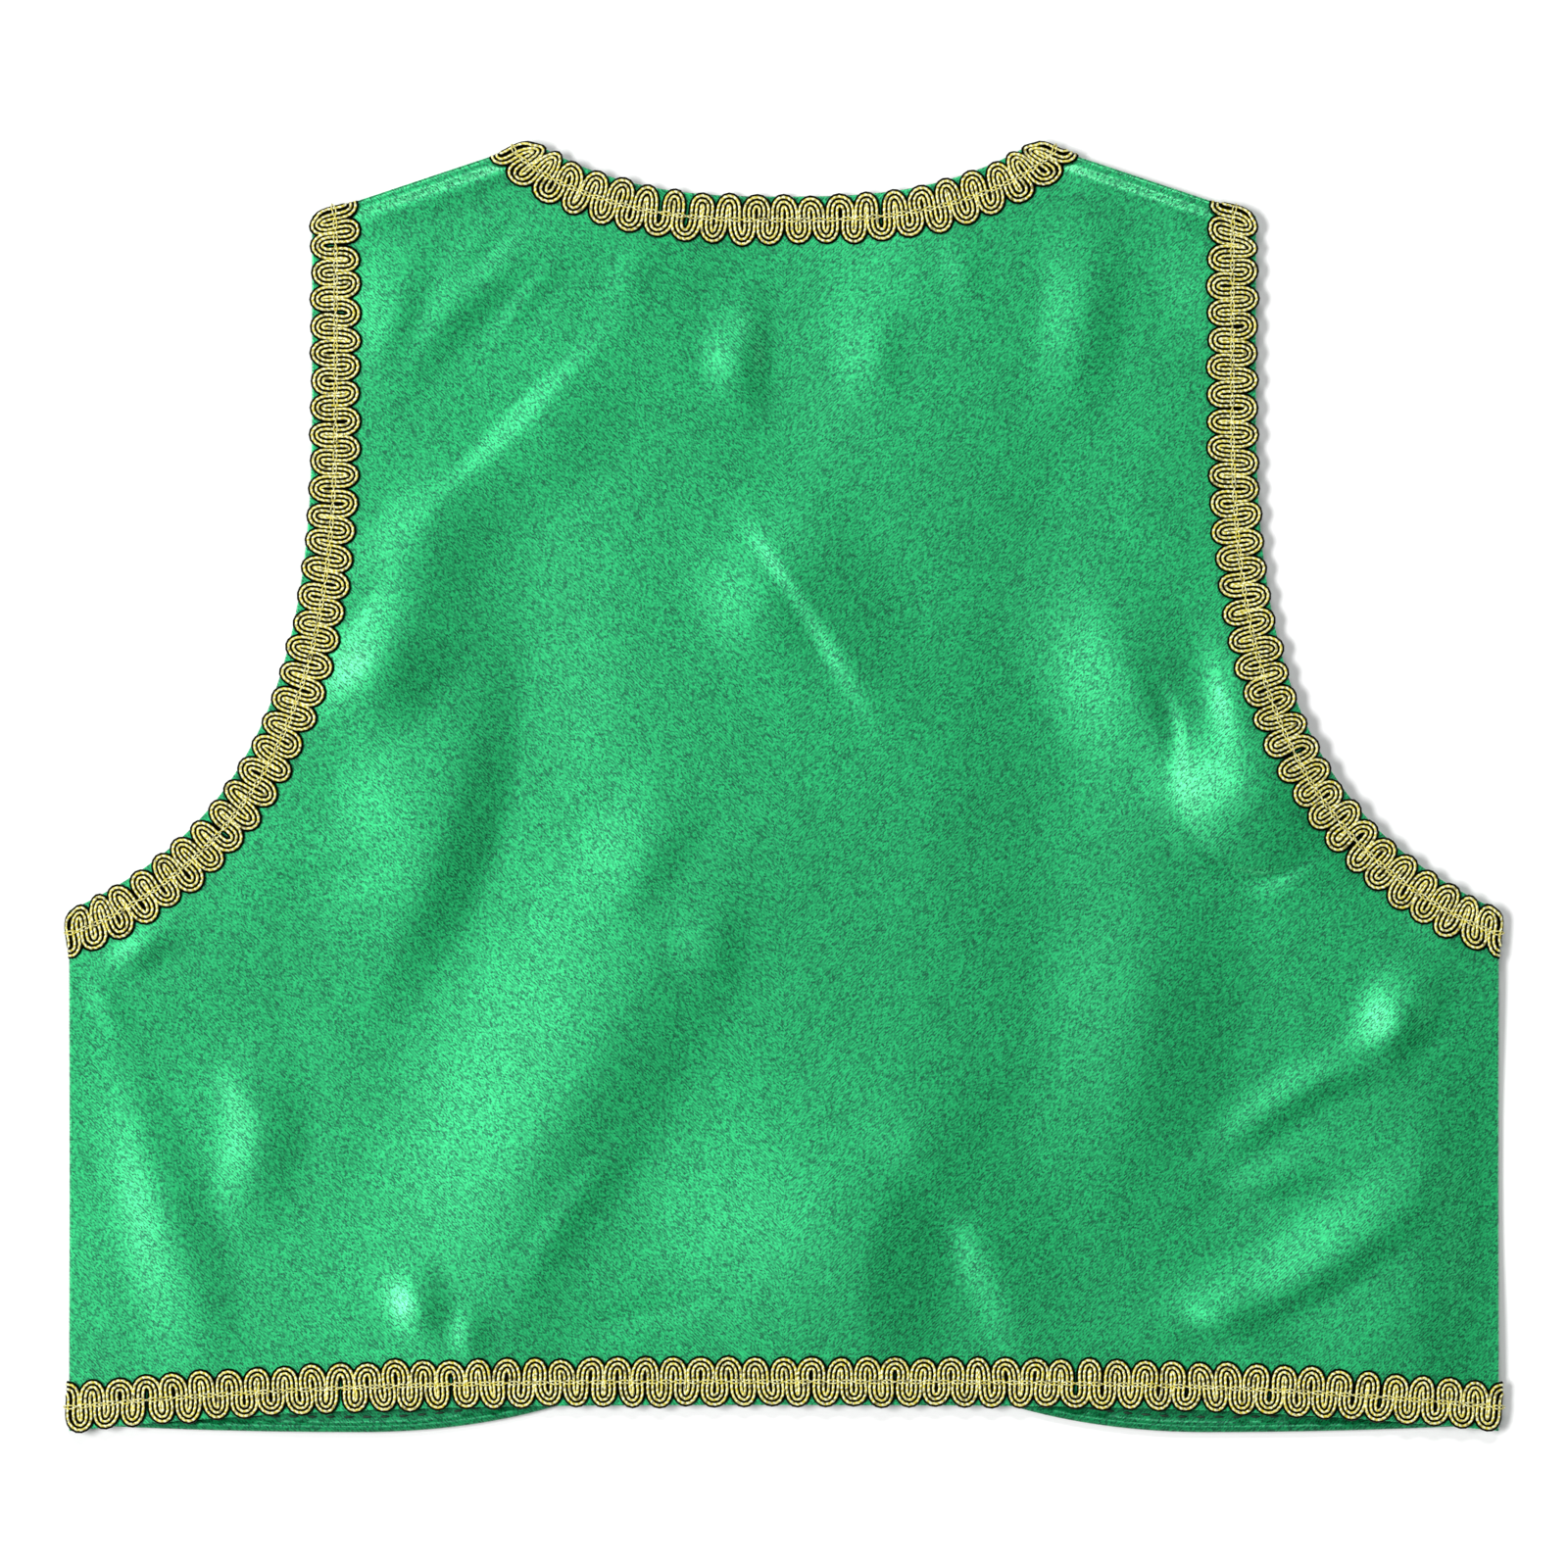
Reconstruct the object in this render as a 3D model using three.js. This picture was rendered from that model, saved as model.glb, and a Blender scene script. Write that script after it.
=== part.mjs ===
import * as THREE from 'three';

// A child's satin vest laid flat with its back up: two fronts on the floor, the back on top of them,
// and gold scroll gimp along every open edge. Millimetres, +X to the wearer's right as seen from behind,
// +Y to the neck, +Z up, the floor at z = 0 and the origin under the middle of the outline.

// cut of the garment; each half is the mirror image of the other about x = 0
const sideX = 200;            // side seam, a quarter of the 800 mm round the chest
const underarmY = -35.4;
const shoulderX = 132;        // outer end of the shoulder seam
const shoulderY = 158.9;
const neckX = 70;             // neck end of the shoulder seam
const neckY = 179.6;
const backNeckY = 164.4;      // lowest point of the back neck
const backNeckPower = 2.8;    // how squarely the back neck turns up to the shoulders
const armholeStraightY = 104; // the armhole is straight from the shoulder down to here
const armholePullY = 33;
const armholeTurnX = 147;
const armholeTurnY = -11.6;
const frontArmholeScoop = 4;  // how much deeper a front's armhole is cut than the back's
const backHemY = -173.7;
const backHemDrop = 7.3;      // how much lower the back hem is at the side seams
const backHemPower = 2.9;
const frontHemY = -181.4;
const frontHemRise = 2.2;     // how much higher the front hem is at the side seam
const cornerX = 118;          // the front's rounded corner is a quarter of an ellipse about here
const cornerReach = 100;
const cornerRise = 46;
const frontNeckStartY = 20;   // the front edge is straight up to here, then leans out to the neck
const frontNeckPower = 1.8;

// cloth, gaps and gimp
const wall = 1.2;             // satin with its turned edges, as one wall
const gap = 0.3;              // clearance between two pieces that lie on each other
const gimpWidth = 14;
const gimpNotch = 2.2;        // depth of the notch between two loops
const gimpPitch = 7.7;        // from one loop to the next
const gimpHigh = 1.4;         // thickness over the cords that cross the braid
const gimpLow = 1.0;          // thickness at the loops
const gimpInset = 0.9;        // how far its top is set in from its edges
const gimpSkewOver = 1.5 * gimpPitch;  // length over which an end turns to run along a fold
const underGimp = 1.2;        // the same gimp pressed flat under the fronts
const floorClearance = 0.1;
const frontLift = gimpHigh + 0.2;  // how far a front rises over the gimp under its edges
const liftFrom = 15;          // distance from a trimmed edge where that lift starts to fall
const liftTo = 28;            // and where the front is down on the floor
const seamFade = 24;          // folds die away towards the sewn sides over this distance

// facets: points across the back and a front, and along each stretch of their edges
const shoulderSteps = 8;
const neckSteps = 22;
const backSideSteps = 15;
const backArmholeSteps = 20;
const frontSteps = 12;
const sideSteps = 11;
const armholeSteps = 15;
const cornerSteps = 4;
const curveSteps = 24;        // points through which a formula's curve is drawn
const armholeCurveSteps = 60;
const trimmedSteps = 40;
const gimpChecks = 8;         // places across a braid where its height over the cloth is tested
const fineSteps = 4;          // sections of the gimp for each pitch, on the back
const coarseSteps = 2;        // and under the fronts

// how the back settles on the fronts
const reach = 18;             // a point of the back clears all that lies nearer than this
const settlePasses = 90;
const sagPerPass = 0.05;

// Folds of the back. Each rises over a band twice as wide as `wide`, whose middle is at (x, y), and falls
// away again over `fall`. Its crest runs for about `long` either way in the direction `turn` (degrees from
// +X) with the high side on its left, and is bowed by `bow` at its ends. All but turn are in millimetres.
const folds = [
  { name: 'blade crease', x: -75, y: 101, turn: -136, long: 26, wide: 3.5, fall: 26, height: 1.3, bow: 1 },
  { name: 'left blade slope', x: -108, y: 72, turn: -132, long: 18, wide: 8, fall: 22, height: 1.1, bow: 3 },
  { name: 'left tip pull', x: -96, y: 140, turn: -138, long: 24, wide: 8, fall: 10, height: 1.0, bow: -3 },
  { name: 'middle crease', x: 9, y: 44, turn: -57, long: 24, wide: 3.5, fall: 24, height: 1.3, bow: 1 },
  { name: 'middle slope', x: -14, y: 48, turn: -62, long: 16, wide: 12, fall: 12, height: 1.6, bow: 0 },
  { name: 'armhole swell', x: -118, y: 40, turn: -132, long: 17, wide: 8, fall: 20, height: 2.4, bow: 1 },
  { name: 'underarm fold', x: 123, y: -6, turn: -58, long: 26, wide: 14, fall: 22, height: 4.0, bow: -6 },
  { name: 'right blade slope', x: 84, y: 26, turn: -60, long: 28, wide: 15, fall: 20, height: 2.4, bow: 3 },
  { name: 'right side dimple', x: 167, y: -62, turn: -118, long: 11, wide: 8, fall: 9, height: 2.3, bow: 0 },
  { name: 'right side roll', x: 84, y: -62, turn: -97, long: 46, wide: 17, fall: 30, height: 2.0, bow: 4 },
  { name: 'right side crease', x: 146, y: -80, turn: -152, long: 30, wide: 5, fall: 7, height: 1.2, bow: -4 },
  { name: 'right hem swell', x: 146, y: -129, turn: -150, long: 36, wide: 8, fall: 9, height: 1.7, bow: 4 },
  { name: 'right hem rise', x: 150, y: -128, turn: -96, long: 44, wide: 34, fall: 30, height: 3.0, bow: 0 },
  { name: 'diagonal roll', x: -84, y: -80, turn: -118, long: 60, wide: 24, fall: 30, height: 2.3, bow: -6 },
  { name: 'left blade swell', x: -112, y: -8, turn: -108, long: 36, wide: 18, fall: 16, height: 2.6, bow: 4 },
  { name: 'left side roll', x: -153, y: -98, turn: -96, long: 20, wide: 7, fall: 14, height: 1.0, bow: 2 },
  { name: 'left seam roll', x: -180, y: -124, turn: -72, long: 36, wide: 9, fall: 14, height: 1.1, bow: 2 },
  { name: 'hem swell', x: -10, y: -120, turn: -102, long: 33, wide: 34, fall: 26, height: 3.6, bow: -6 },
  { name: 'hem crease', x: 48, y: -126, turn: -59, long: 30, wide: 6, fall: 24, height: 1.5, bow: 3 },
  { name: 'left dimple', x: -106, y: -148, turn: -60, long: 8, wide: 5, fall: 9, height: 1.3, bow: 0 },
  { name: 'right dimple', x: 122, y: -154, turn: -30, long: 13, wide: 5, fall: 10, height: 1.1, bow: 0 },
  { name: 'shoulder fall', x: 77, y: 132, turn: -96, long: 22, wide: 8, fall: 12, height: 1.2, bow: 2 },
  { name: 'left neck pull', x: -18, y: 120, turn: -90, long: 11, wide: 7, fall: 8, height: 1.6, bow: 0 },
  { name: 'right neck pull', x: 20, y: 120, turn: -90, long: 10, wide: 7, fall: 8, height: 0.5, bow: 0 },
];

const satin = new THREE.MeshStandardMaterial({ color: 0x2fa96b, roughness: 0.32, metalness: 0 });
const gold = new THREE.MeshStandardMaterial({ color: 0xc9b545, roughness: 0.38, metalness: 0.75 });

// 0 at a, 1 at b, smooth between
function smooth(a, b, value) {
  return THREE.MathUtils.smoothstep(value, a, b);
}

// points at even distances along a path, both ends included
function evenPoints(path, steps) {
  return path.getSpacedPoints(steps);
}

// a path through the points of a formula
function pathThrough(steps, formula) {
  const points = [];
  for (let i = 0; i <= steps; i += 1) {
    points.push(formula(i / steps));
  }
  return new THREE.SplineCurve(points);
}

// joins stretches end to end, leaving out the point that two of them share
function joinStretches(...stretches) {
  return stretches.flatMap((points, index) => (index === 0 ? points : points.slice(1)));
}

function mirrored(points) {
  return points.map((point) => new THREE.Vector2(-point.x, point.y));
}

// the edges of the right half, each from the hem up or from the centre out

const backHemHeight = (x) => backHemY - backHemDrop * (Math.abs(x) / sideX) ** backHemPower;
const backNeckHeight = (x) => backNeckY + (neckY - backNeckY) * (Math.abs(x) / neckX) ** backNeckPower;

const backHemPath = pathThrough(curveSteps, (t) => {
  const x = sideX * (2 * t - 1);
  return new THREE.Vector2(x, backHemHeight(x));
});
const backNeckPath = pathThrough(curveSteps, (t) => {
  const x = neckX * (2 * t - 1);
  return new THREE.Vector2(x, backNeckHeight(x));
});
const shoulderPath = new THREE.LineCurve(
  new THREE.Vector2(neckX, neckY),
  new THREE.Vector2(shoulderX, shoulderY),
);
const backSidePath = new THREE.LineCurve(
  new THREE.Vector2(sideX, backHemHeight(sideX)),
  new THREE.Vector2(sideX, underarmY),
);

// the armhole from the underarm up to the shoulder, cut deeper by scoop in the middle
function armholePath(scoop) {
  const curve = new THREE.CurvePath();
  curve.add(new THREE.CubicBezierCurve(
    new THREE.Vector2(sideX, underarmY),
    new THREE.Vector2(armholeTurnX, armholeTurnY),
    new THREE.Vector2(shoulderX, armholePullY),
    new THREE.Vector2(shoulderX, armholeStraightY),
  ));
  curve.add(new THREE.LineCurve(
    new THREE.Vector2(shoulderX, armholeStraightY),
    new THREE.Vector2(shoulderX, shoulderY),
  ));
  const points = evenPoints(curve, armholeCurveSteps).map((point, index) => {
    const inward = scoop * Math.sin((Math.PI * index) / armholeCurveSteps);
    return new THREE.Vector2(point.x - inward, point.y - inward / 2);
  });
  return new THREE.SplineCurve(points);
}

// the front's hem from its rounded corner out to the side seam, and its edge from there up to the neck
const cornerMiddle = THREE.MathUtils.degToRad(50);
const hemTurnShare = 0.45;    // the share of the front hem that lies on its rounded corner
const cornerY = frontHemY + cornerRise;
const frontEdgeX = cornerX - cornerReach;

function cornerPoint(angle) {
  return new THREE.Vector2(
    cornerX - cornerReach * Math.cos(angle),
    cornerY - cornerRise * Math.sin(angle),
  );
}

const frontHemPath = pathThrough(curveSteps, (t) => {
  const turned = Math.min(1, t / hemTurnShare);
  const corner = cornerPoint(THREE.MathUtils.lerp(cornerMiddle, Math.PI / 2, turned));
  const along = Math.max(0, (t - hemTurnShare) / (1 - hemTurnShare));
  const x = corner.x + (sideX - cornerX) * along;
  return new THREE.Vector2(x, corner.y + frontHemRise * along ** 2);
});
const frontCornerPath = pathThrough(curveSteps, (t) => cornerPoint(cornerMiddle * (1 - t)));
const frontEdgePath = pathThrough(curveSteps, (t) => {
  const y = THREE.MathUtils.lerp(cornerY, neckY, t);
  const lean = Math.max(0, (y - frontNeckStartY) / (neckY - frontNeckStartY));
  return new THREE.Vector2(frontEdgeX + (neckX - frontEdgeX) * lean ** frontNeckPower, y);
});
const frontSidePath = new THREE.LineCurve(
  new THREE.Vector2(sideX, frontHemY + frontHemRise),
  new THREE.Vector2(sideX, underarmY),
);

// A flat sheet of points [row][column] blended between its four edges, rows from the hem up.
function blendSheet(hem, top, left, right) {
  const columns = hem.length - 1;
  const rows = left.length - 1;
  const sheet = [];
  for (let row = 0; row <= rows; row += 1) {
    const v = row / rows;
    sheet.push(hem.map((_, column) => {
      const u = column / columns;
      const across = new THREE.Vector2().lerpVectors(left[row], right[row], u);
      const along = new THREE.Vector2().lerpVectors(hem[column], top[column], v);
      const low = new THREE.Vector2().lerpVectors(hem[0], hem[columns], u);
      const high = new THREE.Vector2().lerpVectors(top[0], top[columns], u);
      return across.add(along).sub(low.lerp(high, v));
    }));
  }
  return sheet;
}

// the triangles of a sheet, as triples of [row, column]
function sheetTriangles(rows, columns) {
  const triangles = [];
  for (let row = 0; row < rows; row += 1) {
    for (let column = 0; column < columns; column += 1) {
      triangles.push([[row, column], [row, column + 1], [row + 1, column + 1]]);
      triangles.push([[row, column], [row + 1, column + 1], [row + 1, column]]);
    }
  }
  return triangles;
}

// A panel: its plan, the height of its underside at each point, and a way to ask for a height anywhere.
function makePanel(plan, underside) {
  const rows = plan.length - 1;
  const columns = plan[0].length - 1;
  const facets = sheetTriangles(rows, columns).map((corners) => {
    const [a, b, c] = corners.map(([row, column]) => plan[row][column]);
    const heights = corners.map(([row, column]) => underside[row][column]);
    const area = (b.x - a.x) * (c.y - a.y) - (c.x - a.x) * (b.y - a.y);
    return { a, b, c, heights, area };
  });

  // the underside's height at (x, y), and how far outside of the plan that is (nought or less: inside)
  function at(x, y) {
    let best = null;
    let least = -Infinity;
    for (const facet of facets) {
      const { a, b, c, area } = facet;
      const shareB = ((x - a.x) * (c.y - a.y) - (c.x - a.x) * (y - a.y)) / area;
      const shareC = ((b.x - a.x) * (y - a.y) - (x - a.x) * (b.y - a.y)) / area;
      const inside = Math.min(shareB, shareC, 1 - shareB - shareC);
      if (inside > least) {
        least = inside;
        best = { facet, shareB, shareC };
      }
      if (inside >= 0) {
        break;
      }
    }
    const { heights } = best.facet;
    const alongB = best.shareB * (heights[1] - heights[0]);
    const alongC = best.shareC * (heights[2] - heights[0]);
    const height = heights[0] + alongB + alongC;
    return { height, inside: least > -1e-6 };
  }

  return { plan, underside, rows, columns, at };
}

// a closed mesh from points and triangles, turned so that its faces point out
function closedMesh(name, points, triangles, material) {
  let volume = 0;
  for (const [a, b, c] of triangles) {
    volume += points[a].dot(new THREE.Vector3().crossVectors(points[b], points[c]));
  }
  const index = triangles.flatMap(([a, b, c]) => (volume > 0 ? [a, b, c] : [a, c, b]));
  const geometry = new THREE.BufferGeometry().setFromPoints(points);
  geometry.setIndex(index);
  geometry.computeVertexNormals();
  const mesh = new THREE.Mesh(geometry, material);
  mesh.name = name;
  return mesh;
}

// the solid of a panel: its underside, the same points one wall higher, and a rim between them
function panelMesh(name, panel, material) {
  const { plan, underside, rows, columns } = panel;
  const points = [];
  const number = (row, column, top) => 2 * (row * (columns + 1) + column) + top;
  for (let row = 0; row <= rows; row += 1) {
    for (let column = 0; column <= columns; column += 1) {
      const { x, y } = plan[row][column];
      points.push(new THREE.Vector3(x, y, underside[row][column]));
      points.push(new THREE.Vector3(x, y, underside[row][column] + wall));
    }
  }
  const triangles = [];
  for (const corners of sheetTriangles(rows, columns)) {
    const [a, b, c] = corners;
    triangles.push([number(...a, 1), number(...b, 1), number(...c, 1)]);
    triangles.push([number(...a, 0), number(...c, 0), number(...b, 0)]);
  }
  const rim = [];
  for (let column = 0; column < columns; column += 1) {
    rim.push([0, column]);
  }
  for (let row = 0; row < rows; row += 1) {
    rim.push([row, columns]);
  }
  for (let column = columns; column > 0; column -= 1) {
    rim.push([rows, column]);
  }
  for (let row = rows; row > 0; row -= 1) {
    rim.push([row, 0]);
  }
  rim.forEach((here, place) => {
    const next = rim[(place + 1) % rim.length];
    triangles.push([number(...here, 0), number(...next, 0), number(...next, 1)]);
    triangles.push([number(...here, 0), number(...next, 1), number(...here, 1)]);
  });
  return closedMesh(name, points, triangles, material);
}

// The fronts. Each lies flat on the floor and rises over the gimp that is sewn under its open edges.

const frontHem = evenPoints(frontHemPath, frontSteps);
const frontInner = joinStretches(
  evenPoints(frontCornerPath, cornerSteps),
  evenPoints(frontEdgePath, sideSteps + armholeSteps - cornerSteps),
);
const frontShoulder = evenPoints(shoulderPath, frontSteps);
const frontOuter = joinStretches(
  evenPoints(frontSidePath, sideSteps),
  evenPoints(armholePath(frontArmholeScoop), armholeSteps),
);
const trimmedEdges = [
  evenPoints(armholePath(frontArmholeScoop), trimmedSteps),
  joinStretches(
    evenPoints(frontHemPath, trimmedSteps).reverse(),
    evenPoints(frontCornerPath, trimmedSteps),
    evenPoints(frontEdgePath, trimmedSteps),
  ),
];

function distanceToEdge(point, edge) {
  let nearest = Infinity;
  const onSegment = new THREE.Vector2();
  for (let i = 1; i < edge.length; i += 1) {
    const run = onSegment.subVectors(edge[i], edge[i - 1]);
    const along = (point.x - edge[i - 1].x) * run.x + (point.y - edge[i - 1].y) * run.y;
    const share = THREE.MathUtils.clamp(along / run.lengthSq(), 0, 1);
    const foot = run.multiplyScalar(share).add(edge[i - 1]);
    nearest = Math.min(nearest, foot.distanceTo(point));
  }
  return nearest;
}

function frontUnderside(point) {
  const distance = Math.min(...trimmedEdges.map((edge) => distanceToEdge(point, edge)));
  return frontLift * (1 - smooth(liftFrom, liftTo, distance));
}

const rightFrontPlan = blendSheet(frontHem, frontShoulder, frontInner, frontOuter);
const rightFrontHeights = rightFrontPlan.map((row) => row.map(frontUnderside));
const frontRight = makePanel(rightFrontPlan, rightFrontHeights);
const frontLeft = makePanel(
  rightFrontPlan.map((row) => mirrored(row).reverse()),
  rightFrontHeights.map((row) => [...row].reverse()),
);

// The back. It is laid on the fronts, sags a little where nothing lies under it, and then has its folds.

const backSide = joinStretches(
  evenPoints(backSidePath, backSideSteps),
  evenPoints(armholePath(0), backArmholeSteps),
);
const backTop = joinStretches(
  mirrored(evenPoints(shoulderPath, shoulderSteps)).reverse(),
  evenPoints(backNeckPath, neckSteps),
  evenPoints(shoulderPath, shoulderSteps),
);
const backHem = evenPoints(backHemPath, neckSteps + 2 * shoulderSteps);
const backPlan = blendSheet(backHem, backTop, mirrored(backSide), backSide);

// the lowest that the back may lie at a point: clear of the floor and of all cloth within reach
function lowestAt({ x, y }) {
  let height = gap;
  for (const front of [frontLeft, frontRight]) {
    for (const distance of [0, reach / 2, reach]) {
      for (let turn = 0; turn < 8; turn += 1) {
        const angle = (turn * Math.PI) / 4;
        const found = front.at(x + distance * Math.cos(angle), y + distance * Math.sin(angle));
        if (found.inside) {
          height = Math.max(height, found.height + wall + gap);
        }
      }
    }
  }
  return height;
}

// the height that one fold adds at a point
function foldHeight({ x, y, turn, long, wide, fall, height, bow }, point) {
  const angle = THREE.MathUtils.degToRad(turn);
  const along = ((point.x - x) * Math.cos(angle) + (point.y - y) * Math.sin(angle)) / long;
  const straight = (point.y - y) * Math.cos(angle) - (point.x - x) * Math.sin(angle);
  const across = straight + bow * along ** 2;
  const rise = smooth(-wide, wide, across);
  const drop = 1 - smooth(wide, wide + fall, across);
  return height * rise * drop * Math.exp(-(along ** 2));
}

const backRows = backPlan.length - 1;
const backColumns = backPlan[0].length - 1;
const lowest = backPlan.map((row) => row.map(lowestAt));
const sewn = (row, column) => {
  const sideSeam = row <= backSideSteps && (column === 0 || column === backColumns);
  const shoulderSeam = row === backRows && (column <= shoulderSteps || column >= backColumns - shoulderSteps);
  return sideSeam || shoulderSeam;
};
let settled = lowest.map((row) => [...row]);
for (let pass = 0; pass < settlePasses; pass += 1) {
  settled = settled.map((heights, row) => heights.map((height, column) => {
    if (sewn(row, column)) {
      return lowest[row][column];
    }
    const around = [];
    for (const [stepRow, stepColumn] of [[1, 0], [-1, 0], [0, 1], [0, -1]]) {
      const neighbour = settled[row + stepRow]?.[column + stepColumn];
      around.push(neighbour ?? height);
    }
    const mean = around.reduce((sum, value) => sum + value, 0) / around.length;
    return Math.max(lowest[row][column], mean - sagPerPass);
  }));
}
const backHeights = settled.map((heights, row) => heights.map((height, column) => {
  const point = backPlan[row][column];
  const fromSide = sideX - Math.abs(point.x);
  const fromTip = (shoulderX - Math.abs(point.x)) / (shoulderX - neckX);
  const fromShoulder = shoulderY + (neckY - shoulderY) * fromTip - point.y;
  const freeOfShoulder = Math.abs(point.x) > neckX ? smooth(0, seamFade, fromShoulder) : 1;
  const free = smooth(0, seamFade, fromSide) * freeOfShoulder;
  const raised = folds.reduce((sum, fold) => sum + foldHeight(fold, point), 0);
  return Math.max(lowest[row][column], height + free * raised);
}));
const back = makePanel(backPlan, backHeights);

// Scroll gimp: a flat braid whose cords loop to one side and the other, so its two edges are scalloped,
// half a pitch out of step, and the cords that cross it stand higher than the loops.

// sections are rings of four points: under left, under right, top right, top left
function gimpMesh(name, sections, material) {
  const points = sections.flat();
  const triangles = [[0, 1, 2], [0, 2, 3]];
  for (let ring = 1; ring < sections.length; ring += 1) {
    for (let side = 0; side < 4; side += 1) {
      const next = (side + 1) % 4;
      const before = 4 * (ring - 1);
      const after = 4 * ring;
      triangles.push([before + side, after + side, after + next]);
      triangles.push([before + side, after + next, before + next]);
    }
  }
  const last = 4 * (sections.length - 1);
  triangles.push([last, last + 2, last + 1]);
  triangles.push([last, last + 3, last + 2]);
  return closedMesh(name, points, triangles, material);
}

// The stations of a braid along an edge of the cloth, which lies on the left of its run when cloth is 1 and
// on the right when it is -1. A braid that ends at a fold turns its last stations to run along that fold.
function gimpStations(edgePath, cloth, stepsPerPitch, foldAtStart, foldAtEnd) {
  const length = edgePath.getLength();
  const pitches = Math.round(length / gimpPitch);
  const count = pitches * stepsPerPitch;
  const stations = [];
  for (let i = 0; i <= count; i += 1) {
    const share = i / count;
    const edge = edgePath.getPointAt(share);
    const run = edgePath.getTangentAt(share);
    const inward = new THREE.Vector2(-run.y * cloth, run.x * cloth);
    const phase = 2 * Math.PI * (i / stepsPerPitch);
    const outerNotch = gimpNotch * (1 - Math.cos(phase)) / 2;
    const innerNotch = gimpNotch * (1 + Math.cos(phase)) / 2;
    const crossing = (1 - Math.cos(2 * phase)) / 2;
    let across = inward.clone();
    for (const [fold, distance] of [[foldAtStart, share * length], [foldAtEnd, (1 - share) * length]]) {
      if (fold && distance < gimpSkewOver) {
        across = inward.clone().lerp(fold, 1 - distance / gimpSkewOver).normalize();
        across.divideScalar(across.dot(inward));
      }
    }
    stations.push({
      outer: edge.clone().addScaledVector(across, outerNotch),
      inner: edge.clone().addScaledVector(across, gimpWidth - innerNotch),
      thickness: THREE.MathUtils.lerp(gimpLow, gimpHigh, crossing),
    });
  }
  return stations;
}

// how much a panel stands above (side 1) or below (side -1) the straight line between two of its points
function excess(panel, from, to, side) {
  const start = panel.at(from.x, from.y).height;
  const end = panel.at(to.x, to.y).height;
  let most = 0;
  for (let i = 1; i < gimpChecks; i += 1) {
    const point = from.clone().lerp(to, i / gimpChecks);
    const height = panel.at(point.x, point.y).height;
    most = Math.max(most, side * (height - THREE.MathUtils.lerp(start, end, i / gimpChecks)));
  }
  return { start, end, most };
}

const raisedPoint = ({ x, y }, height) => new THREE.Vector3(x, y, height);

// a braid that lies on the back, made from the back's own points moved up
function gimpOnBack(stations) {
  return stations.map(({ outer, inner, thickness }) => {
    const { start, end, most } = excess(back, outer, inner, 1);
    const lift = wall + gap + most;
    const topOuter = outer.clone().lerp(inner, gimpInset / gimpWidth);
    const topInner = inner.clone().lerp(outer, gimpInset / gimpWidth);
    return [
      raisedPoint(outer, start + lift),
      raisedPoint(inner, end + lift),
      raisedPoint(topInner, end + lift + thickness),
      raisedPoint(topOuter, start + lift + thickness),
    ];
  });
}

// a braid that lies under a front, made from the front's own points moved down, and pressed by it
function gimpUnderFront(stations, front) {
  return stations.map(({ outer, inner }) => {
    const { start, end, most } = excess(front, outer, inner, -1);
    const drop = gap + most;
    const highOuter = Math.max(start - drop, 2 * floorClearance);
    const highInner = Math.max(end - drop, 2 * floorClearance);
    return [
      raisedPoint(outer, Math.max(floorClearance, highOuter - underGimp)),
      raisedPoint(inner, Math.max(floorClearance, highInner - underGimp)),
      raisedPoint(inner, highInner),
      raisedPoint(outer, highOuter),
    ];
  });
}

// The wrap of a braid round a sewn fold: from its last section on the back, over the fold and down in front
// of the two layers of cloth. outward points away from the cloth, square to the fold.
function wrapSections(section, outward) {
  const [underOuter, underInner, topInner, topOuter] = section;
  const rings = [];
  const thickness = gimpLow;
  const turned = (from, forward, up) => new THREE.Vector3(
    from.x + outward.x * forward,
    from.y + outward.y * forward,
    from.z + up,
  );
  for (const degrees of [45, 90]) {
    const angle = THREE.MathUtils.degToRad(degrees);
    const forward = Math.sin(angle);
    const up = Math.cos(angle) - 1;
    const under = [underOuter, underInner].map((point) => turned(point, gap * forward, gap * up));
    const top = [underInner, underOuter].map((point) => turned(
      point,
      (gap + thickness) * forward,
      (gap + thickness) * up + thickness,
    ));
    rings.push([...under, ...top]);
  }
  const foot = floorClearance + gap;
  rings.push(rings[rings.length - 1].map(({ x, y }) => new THREE.Vector3(x, y, foot)));
  return rings;
}

const foldDirection = {
  shoulderRight: new THREE.Vector2(neckX - shoulderX, neckY - shoulderY).normalize(),
  shoulderLeft: new THREE.Vector2(shoulderX - neckX, neckY - shoulderY).normalize(),
  side: new THREE.Vector2(0, 1),
};
const outwardOf = {
  shoulderRight: new THREE.Vector2(neckY - shoulderY, shoulderX - neckX).normalize(),
  shoulderLeft: new THREE.Vector2(shoulderY - neckY, shoulderX - neckX).normalize(),
  sideRight: new THREE.Vector2(1, 0),
  sideLeft: new THREE.Vector2(-1, 0),
};

function wrappedGimp(name, stations, startOutward, endOutward) {
  const sections = gimpOnBack(stations);
  const startWrap = wrapSections(sections[0], startOutward).reverse();
  const endWrap = wrapSections(sections[sections.length - 1], endOutward);
  return gimpMesh(name, [...startWrap, ...sections, ...endWrap], gold);
}

function mirroredPath(path) {
  return new THREE.SplineCurve(mirrored(evenPoints(path, armholeCurveSteps)));
}

const armhole = armholePath(0);
const frontArmhole = armholePath(frontArmholeScoop);
const frontOpening = new THREE.SplineCurve(joinStretches(
  evenPoints(frontHemPath, curveSteps).reverse(),
  evenPoints(frontCornerPath, cornerSteps),
  evenPoints(frontEdgePath, curveSteps),
));

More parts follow.
